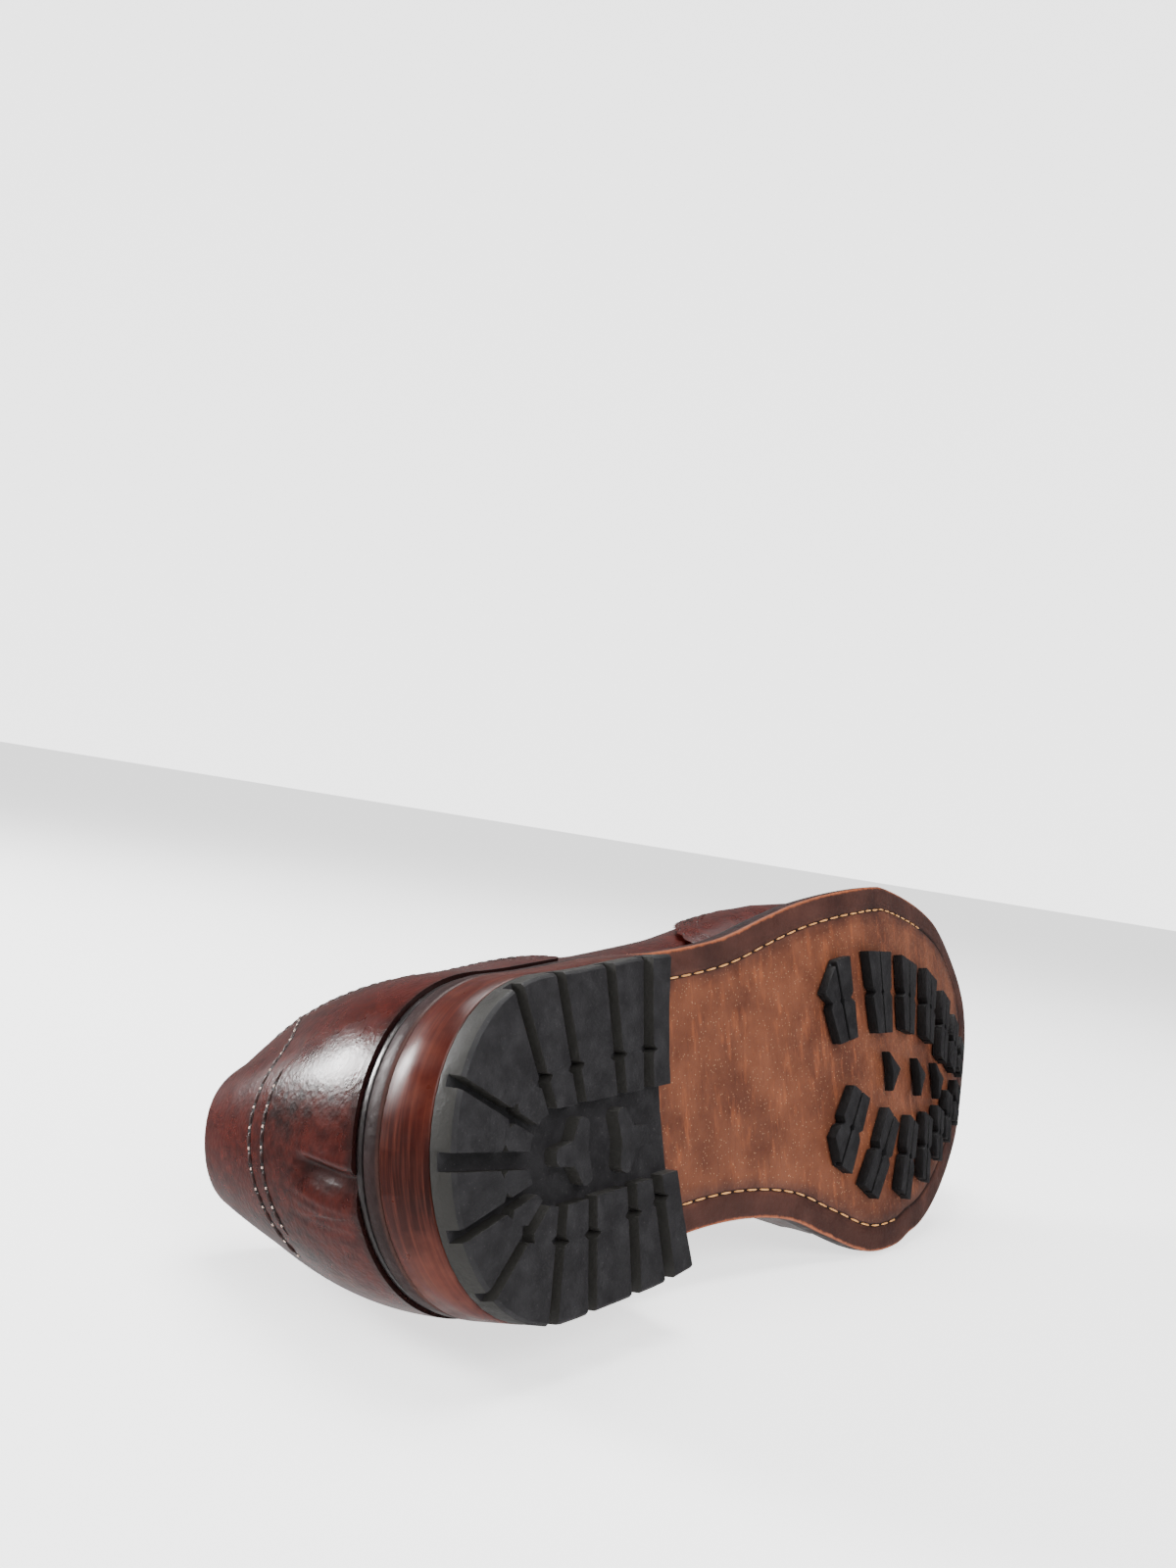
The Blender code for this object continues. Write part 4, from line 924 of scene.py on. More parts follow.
def crease_depth(points, normals):
    """Depth of the listed creases at points of the upper."""
    depth = np.zeros(points.shape[:-1])
    for crease in CREASES:
        line = crease_line(crease, np.linspace(0, 1, 15))
        box_low, box_high = line.min(0) - 4 * crease.width, line.max(0) + 4 * crease.width
        near = np.all((points > box_low) & (points < box_high), axis=-1)
        if not near.any():
            continue
        place = points[near]
        starts, steps = line[:-1], np.diff(line, axis=0)
        offset = place[:, None] - starts
        t = np.clip((offset * steps).sum(-1) / (steps * steps).sum(-1), 0, 1)
        away = np.linalg.norm(offset - t[..., None] * steps, axis=-1)
        best = away.argmin(axis=1)
        pick = np.arange(len(place))
        along = (best + t[pick, best]) / len(steps)
        ends = crease.start * (1 - along) + crease.stop * along
        fade = np.maximum(np.clip(4 * along * (1 - along), 0, 1) ** 0.6, ends)
        nearest = offset[pick, best] - t[pick, best, None] * steps[best]
        across = np.sum(np.cross(steps[best], nearest) * normals[near], axis=-1)
        x = away[pick, best] / crease.width * np.where(across > 0, 1 + crease.lean, 1 - crease.lean)
        depth[near] += crease.depth * fade * (np.exp(-x * x) - 0.12 * np.exp(-((x - 2) ** 2)))
    return depth


def last_points(q, level, rise):
    """Points off the last with the creases pressed in."""
    base, normal = surface(q, level), normal_at(q, level)
    points = base + normal * (rise - crease_depth(base, normal))[..., None]
    points[..., 2] -= np.where(level <= 0, 0.9 * GAP, 0.0)
    return points


def make_upper():
    """Vamp and quarters in one wall with its lining, rolled over at the top line."""
    count, rows = UPPER_COLUMNS, UPPER_ROWS
    q = np.linspace(-1, 1, count + 1)[:, None]
    top = top_level(side_of(q), np.abs(q))
    level = top * np.linspace(0, 1, rows + 1)[None, :]
    wide = np.broadcast_to(q, level.shape)
    outer, inner = (last_points(wide, level, rise) for rise in (0.0, -WALL))
    rims = ((0.00015, 1.0), (-0.0006, 1.004), (-0.0014, 1.004))
    lip = [last_points(q, np.minimum(top * grow, 1.0), rise) for rise, grow in rims]
    points = np.concatenate([outer] + lip + [inner[:, ::-1]], axis=1)
    width = points.shape[1]
    index = np.arange((count + 1) * width).reshape(count + 1, width)
    faces = (grid_faces(count + 1, width), strip_faces(index[:, -1], index[:, 0]))
    column = np.concatenate((np.tile(np.arange(width - 1), count), np.full(count, width - 1)))
    lined = (column > rows + 2).astype(int)
    cut = np.zeros((count + 1, width))
    cut[:, rows + 1 : rows + 3] = 0.6
    new_piece("upper_shell", points, np.concatenate(faces), (UPPER_LOOK, LINING_LOOK),
              ("upper",), lined, {"cut": cut})


def gimp(run):
    """Depth of a toothed edge at runs along it."""
    return GIMP_DEPTH * np.abs(2 * np.mod(run / GIMP_PITCH, 1) - 1)


def carry_on(near, goal, count, power=1.0):
    """Grid with columns added from its last one to a goal."""
    share = np.linspace(0, 1, count)[None, 1:] ** power
    return np.concatenate((near, near[:, -1:] + (goal - near[:, -1:]) * share), axis=1)


def shell(name, q, level, borders, cuts, thin=(0,)):
    """Overlay of a node from a grid of places: a top, an underside and the rims in borders.

    Cuts tell how dark a column is as a cut edge; thin columns lie lower. Creases get painted shade.
    """
    level = np.clip(level, 0, 1)
    rise = np.full(q.shape, OVERLAY_TOP)
    rise[:, thin] *= THIN_EDGE
    top = last_points(q, level, rise)
    bottom = last_points(q, level, np.full(q.shape, UNDER_OVERLAY))
    cut = np.zeros(q.shape)
    for column, dark in cuts.items():
        cut[:, column] = dark
    # Painted shade: crease hollows darken the leather like a cut edge, more the deeper they are
    hollow = crease_depth(surface(q, level), normal_at(q, level)) / CREASE_SHADE_DEPTH
    cut = np.maximum(cut, np.clip(hollow, 0, 0.85))
    rows, columns = q.shape
    size = rows * columns
    index = np.arange(size).reshape(rows, columns)
    faces = [grid_faces(rows, columns), grid_faces(rows, columns, flip=True) + size]
    lines = {"first": index[:, 0], "last": index[:, -1], "start": index[0], "end": index[-1]}
    for border in borders:
        faces.append(strip_faces(lines[border], lines[border] + size))
    points = np.concatenate((top.reshape(-1, 3), bottom.reshape(-1, 3)))
    layers = {"cut": np.concatenate((cut.ravel(), np.ones(size)))}
    new_piece(f"{name}_leather", points, np.concatenate(faces), (UPPER_LOOK,),
              (name,), None, layers)


INSIDE = np.array((0.0, 0.00025, 0.0008, 0.0016, 0.003, 0.005, 0.008))
ALL_RIMS = ("first", "last", "start", "end")


def wing_half(side):
    level = np.linspace(WING_FOOT, 1, 200)
    turn = turn_of_spine(table_value(WING_EDGE, "edge", level))
    return Edge(side * turn, level, -side, pin=True)


def make_wing():
    """Wing cap: a peak on the ridge, wings back along both sides, with a toothed edge."""
    edges = {side: wing_half(side) for side in (LATERAL, MEDIAL)}
    share = np.linspace(0, 1, WING_ROWS)
    front = edges[LATERAL].at(share * edges[LATERAL].length, 0.0)[1][:, None]
    grids = []
    for side, edge in edges.items():
        run = share * edge.length
        q, level = edge.at(run[:, None], gimp(run)[:, None] + INSIDE)
        grids.append((carry_on(q, side, 22, 0.9), carry_on(level, front, 22, 0.9)))
    q, level = (np.concatenate((outer, inner[::-1])) for outer, inner in zip(*grids))
    shell("wing_cap", q, level, ("first", "start", "end"), {0: 1.0, 1: 0.45})
    return edges


def counter_edge():
    q = turn_at(COUNTER_LENGTH) * np.sin(np.linspace(np.pi / 2, -np.pi / 2, 1500))
    height = table_value(COUNTER_EDGE, "edge", length_at(np.abs(q)) / COUNTER_LENGTH)
    return Edge(q, level_at_height(np.abs(q), height * COUNTER_HEIGHT), -1, count=1200)


def make_counter():
    """Counter round the heel: toothed down both sides and plain along the top line."""
    edge = counter_edge()
    run = np.linspace(0, edge.length, COUNTER_ROWS)
    x = length_at(np.abs(edge.at(run, 0.0)[0]))
    depth = gimp(run) * np.clip((x - COUNTER_PLAIN) / 0.002, 0, 1)
    q, level = edge.at(run[:, None], depth[:, None] + INSIDE[:5])
    foot = np.linspace(q[0, -1], q[-1, -1], COUNTER_ROWS)[:, None]
    cuts = {0: 1.0, 1: 0.45, -2: 0.3, -1: 1.0}
    shell("counter", carry_on(q, foot, 40), carry_on(level, 0.0, 40), ALL_RIMS, cuts)
    return edge


def back_rows():
    """Two stitched grooves across the back of the heel, dark with painted shade, with painted
    glints at their holes.
    """
    profile = ((-1.0, -0.0004), (-1.0, 0.00005), (-0.6, 0.00008), (0.0, 0.00002), (0.6, 0.00008),
               (1.0, 0.00005), (1.0, -0.0004), (-1.0, -0.0004))
    count = 400
    for name, start, stop in (("upper", -0.190, 0.100), ("lower", -0.083, 0.070)):
        q = np.linspace(start, stop, count)
        q, level, run = even(q, table_value(BACK_ROWS, name, q), count)
        middle = last_points(q, level, np.full(q.shape, OVERLAY_TOP))
        along = unit(np.gradient(middle, axis=0))
        out = normal_at(q, level)
        across = np.cross(out, along)
        narrow = np.minimum(1, np.minimum(run, run[-1] - run) / 0.003)[:, None] * 0.9 + 0.1
        half = across * (BACK_GROOVE / 2 * narrow)
        points = np.stack([middle + half * side + out * up for side, up in profile], axis=1)
        # The groove is a dark strip on the leather: painted shade along the stitch line
        new_piece(f"back_groove_{name}", points, grid_faces(count, len(profile)), (HOLE_AND_GROOVE_SHADE,))
        at = np.arange(BACK_PITCH / 2, run[-1] - BACK_PITCH / 3, BACK_PITCH)
        # Dark stitches, and pale pieces between them that are painted glints
        for kind, ahead, up, length, width, look in (
            ("stitches", 0.0, 0.00010, BACK_PITCH * 0.80, 0.00095, DARK_THREAD),
            ("glints", BACK_PITCH / 2, 0.00012, 0.00075, 0.0006, PAINTED_GLINT),
        ):
            pick = np.searchsorted(run, at + ahead)
            pick = pick[pick < count]
            stitches(f"back_{kind}_{name}", middle[pick] + out[pick] * up, along[pick], out[pick],
                     length, width, look)


def level_below(side, turn, level, distance):
    """Levels that lie a distance down the last from other levels."""
    level = np.array(level, float)
    left = np.array(np.broadcast_to(distance, level.shape), float)
    place = on_last(side, turn, level)
    while ((left > 0) & (level > 0.02)).any():
        moving = (left > 0) & (level > 0.02)
        level = np.where(moving, level - 0.01, level)
        lower = on_last(side, turn, level)
        left = np.where(moving, left - np.linalg.norm(lower - place, axis=-1), left)
        place = lower
    return level


def make_facing(side):
    """Facing along one edge of the throat, with a toothed lower edge."""
    start, end = turn_of_spine(FACING_TOP), turn_of_spine(THROAT) - 0.001
    turn = np.linspace(start, end, 60)
    share = (turn - start) / (end - start)
    top = top_level(side, turn)
    low = level_below(side, turn, top, FACING_WIDTH * np.sqrt(1 - 0.86 * share**3))
    edge = Edge(side * turn, low, side, depth=6, count=200)
    run = np.linspace(0, edge.length, 420)
    q, level = edge.at(run[:, None], gimp(run)[:, None] + INSIDE[:5])
    level = carry_on(level, np.interp(np.abs(q[:, -1:]), turn, top), 16)
    q = carry_on(q, q[:, -1:], 16)
    cuts = {0: 1.0, 1: 0.45, -1: 0.8}
    shell(f"facing_{SIDE_NAMES[side]}", q, level, ALL_RIMS, cuts, (0, -1))
    return edge


def stitches(name, places, along, out, length, width, look):
    """Thread laid over places, one short rounded piece each."""
    along = unit(along)
    out = unit(out - along * (out * along).sum(1, keepdims=True))
    across = np.cross(out, along)
    lean = np.linspace(-1, 1, 7)
    reach = np.sqrt(np.clip(1 - lean**4, 0.0, 1)) * width / 2
    around = np.linspace(0, 2 * np.pi, 9)[:-1]
    ring = np.stack(
        (
            np.broadcast_to(lean[:, None] * length / 2, (len(lean), len(around))),
            reach[:, None] * np.cos(around),
            reach[:, None] * STITCH_FLATNESS * np.sin(around) - (lean**4)[:, None] * width * 0.5,
        ),
        axis=-1,
    ).reshape(1, -1, 3)
    points = (
        places[:, None]
        + along[:, None] * ring[..., :1]
        + across[:, None] * ring[..., 1:2]
        + out[:, None] * ring[..., 2:]
    )
    faces = ring_faces(len(lean), len(around), len(places))
    return new_piece(name, points, faces, (look,))


def row_of_stitches(name, edge, inside, start=0.0, stop=0.0):
    """Stitches along an overlay's edge at a distance inside it."""
    run = np.arange(start + STITCH_PITCH / 2, edge.length - stop, STITCH_PITCH)
    rise = np.full(run.shape, OVERLAY_TOP)
    before, here, after = (
        edge.at(run + STITCH_PITCH * ahead, inside) for ahead in (-0.2, 0.0, 0.2)
    )
    along = last_points(*after, rise) - last_points(*before, rise)
    places = last_points(*here, rise)
    stitches(name, places, along, normal_at(*here), STITCH_LENGTH, STITCH_WIDTH, DARK_THREAD)


def holes(name, places, out, radius):
    """Punched holes: dished discs set on a surface, dark with a painted shade for their insides."""
    across = unit(np.cross(out, np.tile(np.array((0.31, 0.17, 0.93)), (len(places), 1))))
    beside = np.cross(out, across)
    around = np.linspace(0, 2 * np.pi, 17)[:-1][None, :, None]
    profile = ((0.0, -0.00030), (1.0, -0.00030), (1.06, 0.00002), (0.96, 0.00010),
               (0.72, -0.00004), (0.35, -0.00014), (0.0, -0.00016))
    ring = across[:, None] * np.cos(around) + beside[:, None] * np.sin(around)
    points = np.stack(
        [
            places[:, None] + ring * (share * radius)[:, None, None] + out[:, None] * up
            for share, up in profile
        ],
        axis=1,
    )
    faces = ring_faces(len(profile), around.size, len(places))
    new_piece(name, points, faces, (HOLE_AND_GROOVE_SHADE,))


def row_of_holes(name, edge, start, stop):
    """Large holes along an overlay's edge, with a pair of small ones between them."""
    large = np.arange(start, edge.length - stop, HOLE_PITCH)
    small = large[:-1] + HOLE_PITCH / 2
    run = np.concatenate((large, small, small))
    offset = np.repeat((0.0, -SMALL_HOLE_OFFSET, SMALL_HOLE_OFFSET),
                       (len(large), len(small), len(small)))
    radius = np.where(offset == 0, HOLE_RADIUS, HOLE_RADIUS * SMALL_HOLE)
    q, level = edge.at(run, HOLE_INSET + offset)
    places = last_points(q, level, np.full(q.shape, OVERLAY_TOP))
    holes(name, places, normal_at(q, level), radius)


def edge_rows(kind, side, edge, start=0.0, stop=0.0, hole_start=HOLE_START):
    """Two rows of stitches and one of holes along an overlay's edge."""
    name = SIDE_NAMES[side]
    for number, inside in enumerate(STITCH_INSETS, 1):
        row_of_stitches(f"{kind}_stitches_{name}_{number}", edge, inside, start, stop)
    row_of_holes(f"{kind}_holes_{name}", edge, start + hole_start, stop + hole_start)


def make_outsole():
    """Sole with a rounded edge and a stitched channel cut in its underside."""
    depth, inner = 0.0004, 0.0110
    profile = (
        (inner, 0.0), (CHANNEL_INSET + 0.0005, 0.0), (CHANNEL_INSET + 0.0002, depth),
        (CHANNEL_INSET - 0.0002, depth), (CHANNEL_INSET - 0.0005, 0.0), (0.0045, 0.0),
        (0.0020, 0.0), (0.0007, 0.00005), (0.0002, 0.0003), (0.0, 0.0008), (0.0, 0.0022),
        (0.0, OUTSOLE_THICKNESS - 0.0005), (0.0004, OUTSOLE_THICKNESS),
    )
    levels = sole_levels(profile, sole_bottom, steps=190, across=26)
    points, faces, number = solid_from_levels(levels)
    edge = np.array([inset for inset, up in profile])[number]
    wall = np.array([up if inset < 0.001 else 0.0 for inset, up in profile])[number]
    plan = levels[0][..., :2]
    reach = np.minimum(*(np.linalg.norm(plan - plan[:, [end]], axis=-1) for end in (0, -1)))
    edge[: reach.size] = (inner + reach).ravel()
    layers = {"edge": edge, "wall": wall}
    new_piece("outsole_leather", points, faces, (SOLE_LOOK,), ("outsole",), None,
              layers, sharp=60)


def make_welt():
    """Welt with a rounded dark edge and a flat top."""

    def inner(x):
        return margin(x) + WALL + WELT_INNER_REACH

    top = WELT_THICKNESS
    corners = ((0.0009, 0.0), (0.0004, 0.0003), (0.0003, top / 2), (0.0005, top - 0.0004),
               (0.0010, top), (inner, top), (inner, 0.0))
    levels = sole_levels(corners, welt_bottom, steps=190, across=2)
    points, faces, _ = solid_from_levels(levels, band=True)
    new_piece("welt_leather", points, faces, (EDGE_LOOK,), ("welt",))


def make_insole():
    """Insole inside the upper, in the lining's look."""

    def inset(x):
        return margin(x) + WALL + 0.0011

    profile = [(inset, up) for up in (INSOLE_THICKNESS, INSOLE_THICKNESS - 0.0004, 0.0)]
    levels = sole_levels(profile, feather, steps=120, across=14)
    points, faces, _ = solid_from_levels(levels)
    new_piece("insole_leather", points, faces, (LINING_LOOK,), ("insole",))


def make_heel_stack():
    """Heel lifts as one burnished block, with no lines between them."""
    foot = TOP_PIECE + GAP
    levels = []
    for share, inset in ((0.0, 0.0003), (0.03, 0.0), (0.5, 0.0), (0.97, 0.0), (1.0, 0.0003)):

        def height(x, share=share):
            return foot + (sole_bottom(x) - GAP - foot) * share

        down = (1 - foot / SEAT_HEIGHT) * (1 - share)
        levels.append(heel_level(down, inset, height, steps=70, across=12))
    points, faces, _ = solid_from_levels(levels)
    new_piece("heel_lifts", points, faces, (LIFT_LOOK,), ("heel_stack",))


def dressed_copy(name, node, look):
    """Solid of a node with its flat faces joined and its edges rounded."""
    bm = bmesh.new()
    bm.from_mesh(NODES[node].data)
    bmesh.ops.remove_doubles(bm, verts=bm.verts, dist=WELD)
    bmesh.ops.dissolve_limit(
        bm, angle_limit=math.radians(1.0), verts=bm.verts, edges=bm.edges, delimit={"NORMAL"}
    )
    sharp = [edge for edge in bm.edges
             if len(edge.link_faces) == 2 and edge.calc_face_angle(0) > math.radians(28)]
    bmesh.ops.bevel(
        bm, geom=sharp, offset=ROUNDING, offset_type="OFFSET", segments=2, profile=0.5,
        affect="EDGES", clamp_overlap=True,
    )
    bmesh.ops.triangulate(bm, faces=[face for face in bm.faces if len(face.verts) > 4])
    mesh = bpy.data.meshes.new(name)
    smooth_mesh(bm, mesh, 32)
    place = np.zeros(len(mesh.vertices) * 3)
    mesh.vertices.foreach_get("co", place)
    keep_places(mesh, (place.reshape(-1, 3) - SHIFT) @ TURN)
    mesh.materials.append(look)
    ride_piece(name, mesh, (node,))


def row_on_sole(name, line, height, up, pitch, share, width, look):
    """Stitches along a line in plan, at a height that is a function of length."""
    run = run_along(np.stack(line, axis=-1))
    at = np.arange(pitch / 2, run[-1], pitch)

    def point(run_at):
        x, y = (np.interp(run_at, run, row) for row in line)
        return np.stack((x, y, height(x)), axis=-1)

    out = np.tile((0.0, 0.0, up), (len(at), 1))
    stitches(name, point(at), point(at + 0.0005) - point(at), out, pitch * share, width, look)


def channel_stitches(side):
    """Stitches that show in the sole's channel between two lengths."""
    turn = np.linspace(turn_at(CHANNEL_START), turn_at(CHANNEL_STOP[side]), 400)
    line = outline_point(np.full(turn.shape, side), turn, CHANNEL_INSET)
    row_on_sole(f"sole_stitches_{SIDE_NAMES[side]}", line, lambda x: sole_bottom(x) + 0.00005,
                -1.0, SOLE_STITCH, 0.84, 0.0005, PALE_THREAD)


def welt_stitches():
    """Stitches along the top of the welt round the forefoot."""
    back = turn_at(WELT_STITCH_START * SOLE_LENGTH)
    q = np.concatenate((np.linspace(-back, -1, 500), np.linspace(1, back, 500)[1:]))
    turn = np.abs(q)
    line = outline_point(side_of(q), turn, margin(length_at(turn)) * WELT_STITCH_PLACE)
    row_on_sole("welt_stitches", line, lambda x: welt_bottom(x) + WELT_THICKNESS, 1.0,
                WELT_STITCH, 0.78, 0.0010, DARK_THREAD)


def make_tongue():
    """Tongue under the facings."""
    start, end = turn_of_spine(TONGUE_TOP), turn_of_spine(TONGUE_FRONT)
    turn = np.linspace(start, end, 70)
    share = (turn - start) / (end - start)
    width = TONGUE_HALF_WIDTH * (1 - 0.35 * share) * np.sqrt(np.minimum(1, 0.55 + 5 * share))
    low = level_below(LATERAL, turn, np.ones(turn.shape), width)
    over = np.linspace(0, 1, 21)[None]
    rise = low[:, None] + (1 - low[:, None]) * over
    wide = np.broadcast_to(turn[:, None], rise.shape)
    q = np.concatenate((-wide, wide[:, -2::-1]), axis=1)
    level = np.concatenate((rise, rise[:, -2::-1]), axis=1)
    base, normal = surface(q, level), normal_at(q, level)
    inside = -(WALL + TONGUE_GAP)
    top = base + normal * inside
    bottom = base + normal * (inside - TONGUE_THICKNESS)
    rows, columns = q.shape
    size = rows * columns
    index = np.arange(size).reshape(rows, columns)
    rim = np.concatenate((index[:, 0], index[-1, 1:], index[-2::-1, -1], index[0, -2::-1]))
    faces = np.concatenate((grid_faces(rows, columns), grid_faces(rows, columns, True) + size,
                            strip_faces(rim, rim + size)))
    points = np.concatenate((top.reshape(-1, 3), bottom.reshape(-1, 3)))
    new_piece("tongue_leather", points, faces, (UPPER_LOOK,), ("tongue",),
              None, {"cut": np.zeros(len(points))})


def eyelet_place(side, number):
    share = (number + 0.5) / EYELETS
    turn = turn_of_spine(FACING_TOP + (THROAT - FACING_TOP) * (0.03 + 0.90 * share))
    turn = np.array([turn])
    return turn, level_below(side, turn, top_level(side, turn), EYELET_INSET)


def tube(points, radius, sides, twist):
    """Points and faces of a capped tube along a line, with an oval section that turns."""
    ahead = unit(np.gradient(points, axis=0))
    across = unit(np.cross(ahead, np.array((0.0, 0.0, 1.0)) + 0.01))
    beside = np.cross(ahead, across)
    angle = np.linspace(0, 2 * np.pi, sides, endpoint=False)[None, :]
    turned = angle + TWIST_TURN * np.arange(len(points))[:, None]
    bulge = radius * (1 + twist * np.cos(2 * turned))
    angle = angle[..., None]
    ring = across[:, None] * np.cos(angle) + beside[:, None] * np.sin(angle)
    caps = [np.repeat(points[[end], None], sides, 1) for end in (0, -1)]
    rings = np.concatenate((caps[0], points[:, None] + bulge[..., None] * ring, caps[1]))
    return rings, ring_faces(len(rings), sides)


def smooth_line(points, count):
    """Evenly spaced points on a smooth line through a few points."""
    points = np.asarray(points, float)
    run = run_along(points)
    target = np.linspace(0, run[-1], count)
    slopes = np.gradient(points, run, axis=0)
    i = np.clip(np.searchsorted(run, target) - 1, 0, len(run) - 2)
    span = (run[i + 1] - run[i])[:, None]
    t = ((target - run[i])[:, None]) / span
    return (
        points[i] * (2 * t**3 - 3 * t**2 + 1)
        + slopes[i] * span * (t**3 - 2 * t**2 + t)
        + points[i + 1] * (3 * t**2 - 2 * t**3)
        + slopes[i + 1] * span * (t**3 - t**2)
    )


def make_eyelet(side, number):
    """Ring of one eyelet."""
    turn, level = eyelet_place(side, number)
    centre = off_last(side, turn, level, OVERLAY_TOP)[0]
    out = normal_of(side, turn, level)[0]
    across = unit(np.cross(out, (0.3, 0.2, 0.9)))
    beside = np.cross(out, across)
    around = np.linspace(0, 2 * np.pi, 33)[:, None, None]
    lean = np.linspace(0, 2 * np.pi, 13)[None, :, None]
    middle, wire = (EYELET_RADIUS + EYELET_HOLE) / 2, (EYELET_RADIUS - EYELET_HOLE) / 2
    reach = middle + wire * np.cos(lean)
    up = EYELET_HEIGHT * 0.5 * (0.6 + np.sin(lean))
    points = centre + reach * (across * np.cos(around) + beside * np.sin(around)) + out * up
    node = f"eyelet_{SIDE_NAMES[side]}_{number + 1}"
    faces = grid_faces(around.size, lean.size)
    new_piece(f"{node}_ring", points, faces, (METAL_LOOK,), (node,))


def make_lacing():
    """Eyelet rings, and bars of round lace that go down through them."""
    ride = OVERLAY_GAP + CAD_OVERLAY + OVERLAY_GAP + EYELET_HEIGHT + 2 * GAP + LACE_RADIUS
    over = ((0.12, 0.82), (0.5, 1.0), (1.0, 1.0))
    for number in range(EYELETS):
        line = []
        for side in (LATERAL, MEDIAL):
            make_eyelet(side, number)
            turn, level = eyelet_place(side, number)
            top = top_level(side, turn)
            half = [off_last(side, turn, level, rise)[0] for rise in (-0.0030, 0.0004)]
            half += [off_last(side, turn, level + (top - level) * share, ride * grow)[0]
                     for share, grow in over]
            line += half if side == LATERAL else half[::-1]
        points, faces = tube(smooth_line(line, 90), LACE_RADIUS, sides=12, twist=LACE_OVAL)
        new_piece(f"lace_{number + 1}", points, faces, (LACE_LOOK,),
                  (f"lace_bar_{number + 1}",))


def make_camera():
    """Camera where the photograph was taken from, carried from the shoe's frame to the floor's."""
    axes = np.array((CAMERA_RIGHT, CAMERA_DOWN, CAMERA_AHEAD)) @ TURN.T
    data = bpy.data.cameras.new("camera")
    data.sensor_width = 36.0
    data.lens = CAMERA_LENS
    data.clip_start = 0.01
    camera = link("camera", data)
    turn = np.eye(4)
    turn[:3, 0], turn[:3, 1], turn[:3, 2] = axes[0], -axes[1], -axes[2]
    turn[:3, 3] = TURN @ np.array(CAMERA_PLACE) + SHIFT
    camera.matrix_world = Matrix(turn.tolist())
    bpy.context.scene.camera = camera


def make_light(name, place, target, size, power):
    data = bpy.data.lights.new(name, "AREA")
    data.shape = "RECTANGLE"
    data.size, data.size_y = size
    data.energy = power
    light = link(name, data)
    light.location = place
    ahead = Vector(target) - Vector(place)
    light.rotation_euler = ahead.to_track_quat("-Z", "Y").to_euler()


def make_stage(name, points, faces, base, glow):
    """Part of the stage that glows and isn't seen in the shoe's gloss."""
    mesh = bpy.data.meshes.new(name)
    mesh.from_pydata(points, [], faces)
    look = bpy.data.materials.new(name)
    look.use_nodes = True
    shader = look.node_tree.nodes["Principled BSDF"]
    shader.inputs["Base Color"].default_value = base
    shader.inputs["Emission Color"].default_value = WHITE
    shader.inputs["Emission Strength"].default_value = glow
    mesh.materials.append(look)
    part = link(name, mesh)
    part.visible_glossy = False
    return part, look.node_tree, shader


def make_backdrop():
    """Pale wall all round, far off; the shoe neither mirrors it nor is lit by it."""
    count = 64
    turn = np.linspace(0, 2 * np.pi, count + 1)[:-1]
    points = [(BACKDROP * math.cos(a), BACKDROP * math.sin(a), z)
              for z in (-0.01, BACKDROP) for a in turn]
    faces = [(k, (k + 1) % count, (k + 1) % count + count, k + count) for k in range(count)]
    faces.append(tuple(range(count, 2 * count)))
    wall, _, _ = make_stage("backdrop", points, faces, (0.8, 0.8, 0.8, 1.0), BACKDROP_LIGHT)
    wall.visible_diffuse = False
    wall.visible_shadow = False


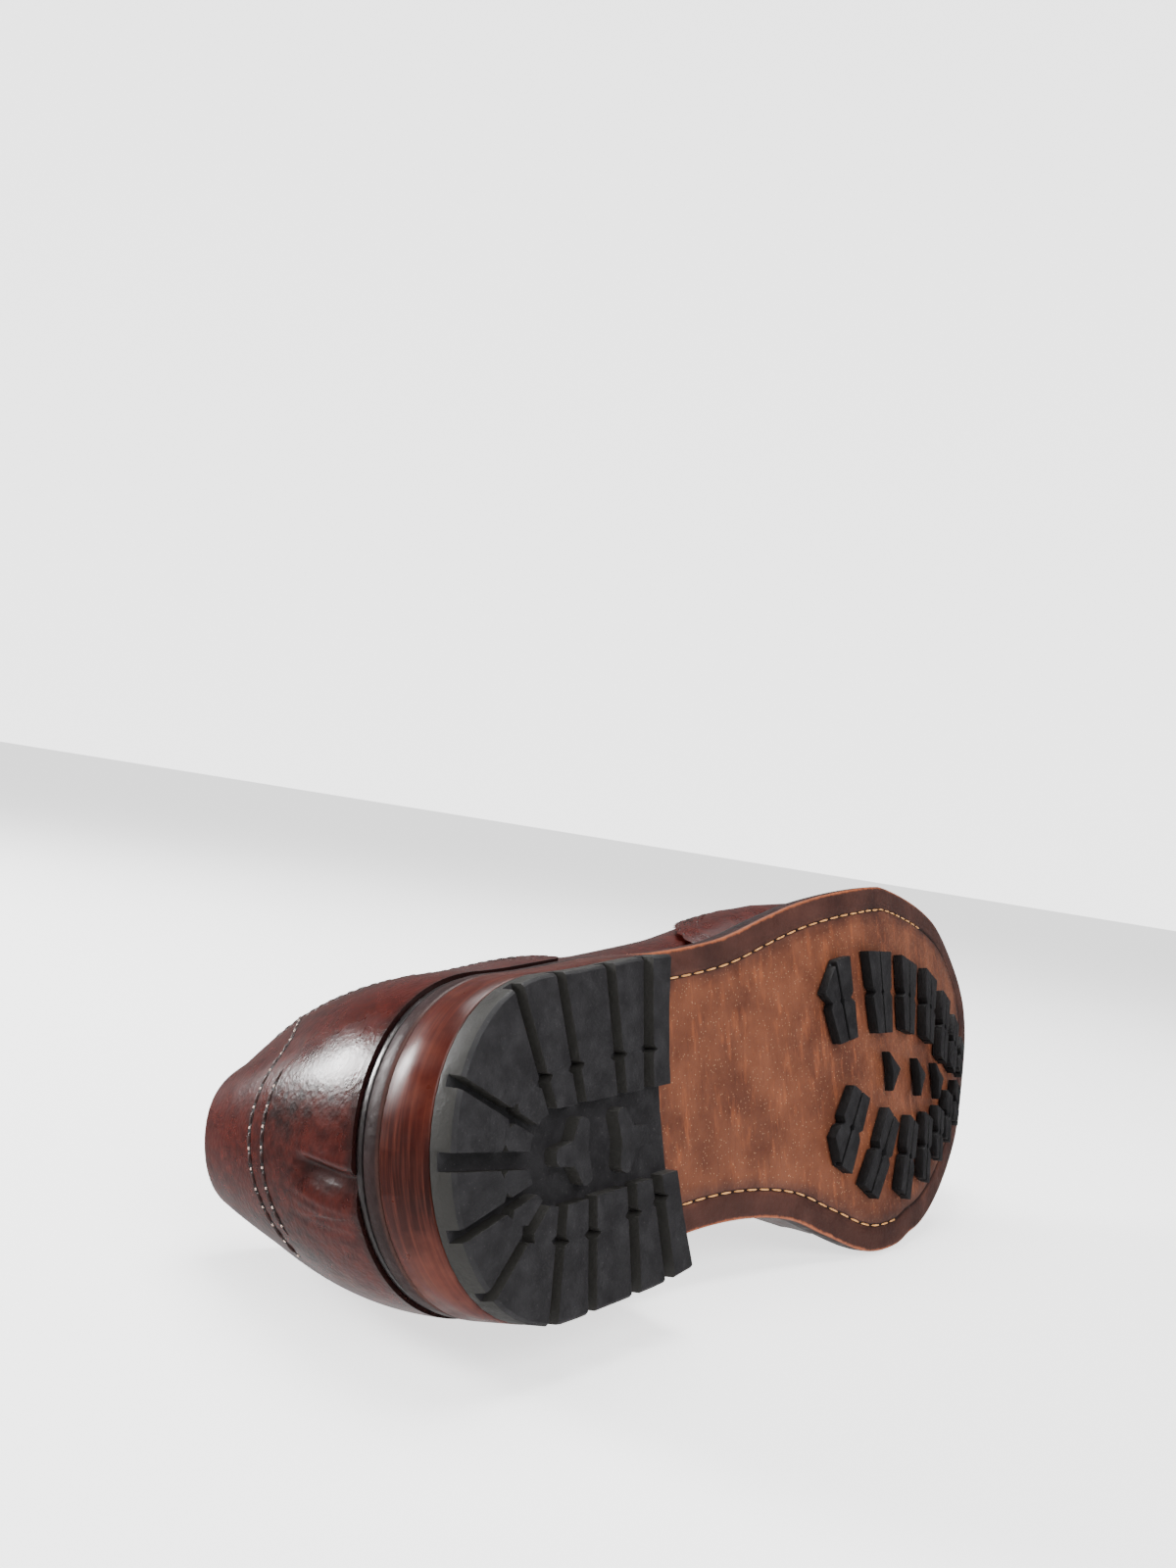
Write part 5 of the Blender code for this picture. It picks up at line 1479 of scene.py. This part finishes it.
def make_floor():
    """Flat pale floor with the faintest change of tone."""
    half = FLOOR / 2
    points = [(-half, -half, 0), (half, -half, 0), (half, half, 0), (-half, half, 0)]
    _, tree, shader = make_stage("floor", points, [(0, 1, 2, 3)], WHITE, FLOOR_GLOW)
    shader.inputs["Roughness"].default_value = 0.8
    shader.inputs["Specular IOR Level"].default_value = 0.15
    place = add(tree, "ShaderNodeTexCoord").outputs["Object"]
    tone = between(tree, noise(tree, place, 5, 3), 0.3, 0.7)
    shade(tree, shader, Base_Color=blend_of(tree, tone, *FLOOR_TONES))


def make_studio():
    """Dim world that is a little brighter from below, floor, far wall and three soft lights."""
    world = bpy.data.worlds.new("studio")
    bpy.context.scene.world = world
    world.use_nodes = True
    tree = world.node_tree
    background = tree.nodes["Background"]
    background.inputs["Color"].default_value = WHITE
    place = add(tree, "ShaderNodeTexCoord").outputs["Generated"]
    height = add(tree, "ShaderNodeSeparateXYZ", None, Vector=place).outputs["Z"]
    strength = between(tree, height, -0.65, -0.30, TABLE_LIGHT, WORLD_LIGHT)
    tree.links.new(strength, background.inputs["Strength"])
    make_floor()
    make_backdrop()
    make_light("softbox", (-0.66, 1.10, 0.46), (-0.14, 0.0, 0.05), (0.36, 0.36), 36)
    make_light("key", (-0.5, -1.0, 1.0), (0, 0, 0.04), (1.0, 0.8), 20)
    make_light("top", (0.1, 0.2, 1.3), (0, 0, 0.04), (0.8, 0.8), 26)


make_camera()
make_studio()
make_outsole()
make_welt()
make_insole()
make_heel_stack()
dressed_copy("heel_top_rubber", "heel_top_piece", TOP_PIECE_LOOK)
for node in sorted(NODES):
    if node.startswith("cleat_"):
        dressed_copy(f"{node}_rubber", node, RUBBER_LOOK)
make_upper()
WING = make_wing()
COUNTER = make_counter()
FACINGS = {side: make_facing(side) for side in (LATERAL, MEDIAL)}
make_tongue()
make_lacing()
for side, edge in WING.items():
    edge_rows("wing", side, edge)
CORNER = COUNTER.run_at(COUNTER_PLAIN)
edge_rows("counter", MEDIAL, COUNTER, 0.003, COUNTER.length - CORNER[0], 0.002)
edge_rows("counter", LATERAL, COUNTER, CORNER[1], 0.003, 0.002)
back_rows()
for side, edge in FACINGS.items():
    row_of_stitches(f"facing_stitches_{SIDE_NAMES[side]}", edge, STITCH_INSETS[0])
for side in (LATERAL, MEDIAL):
    channel_stitches(side)
welt_stitches()
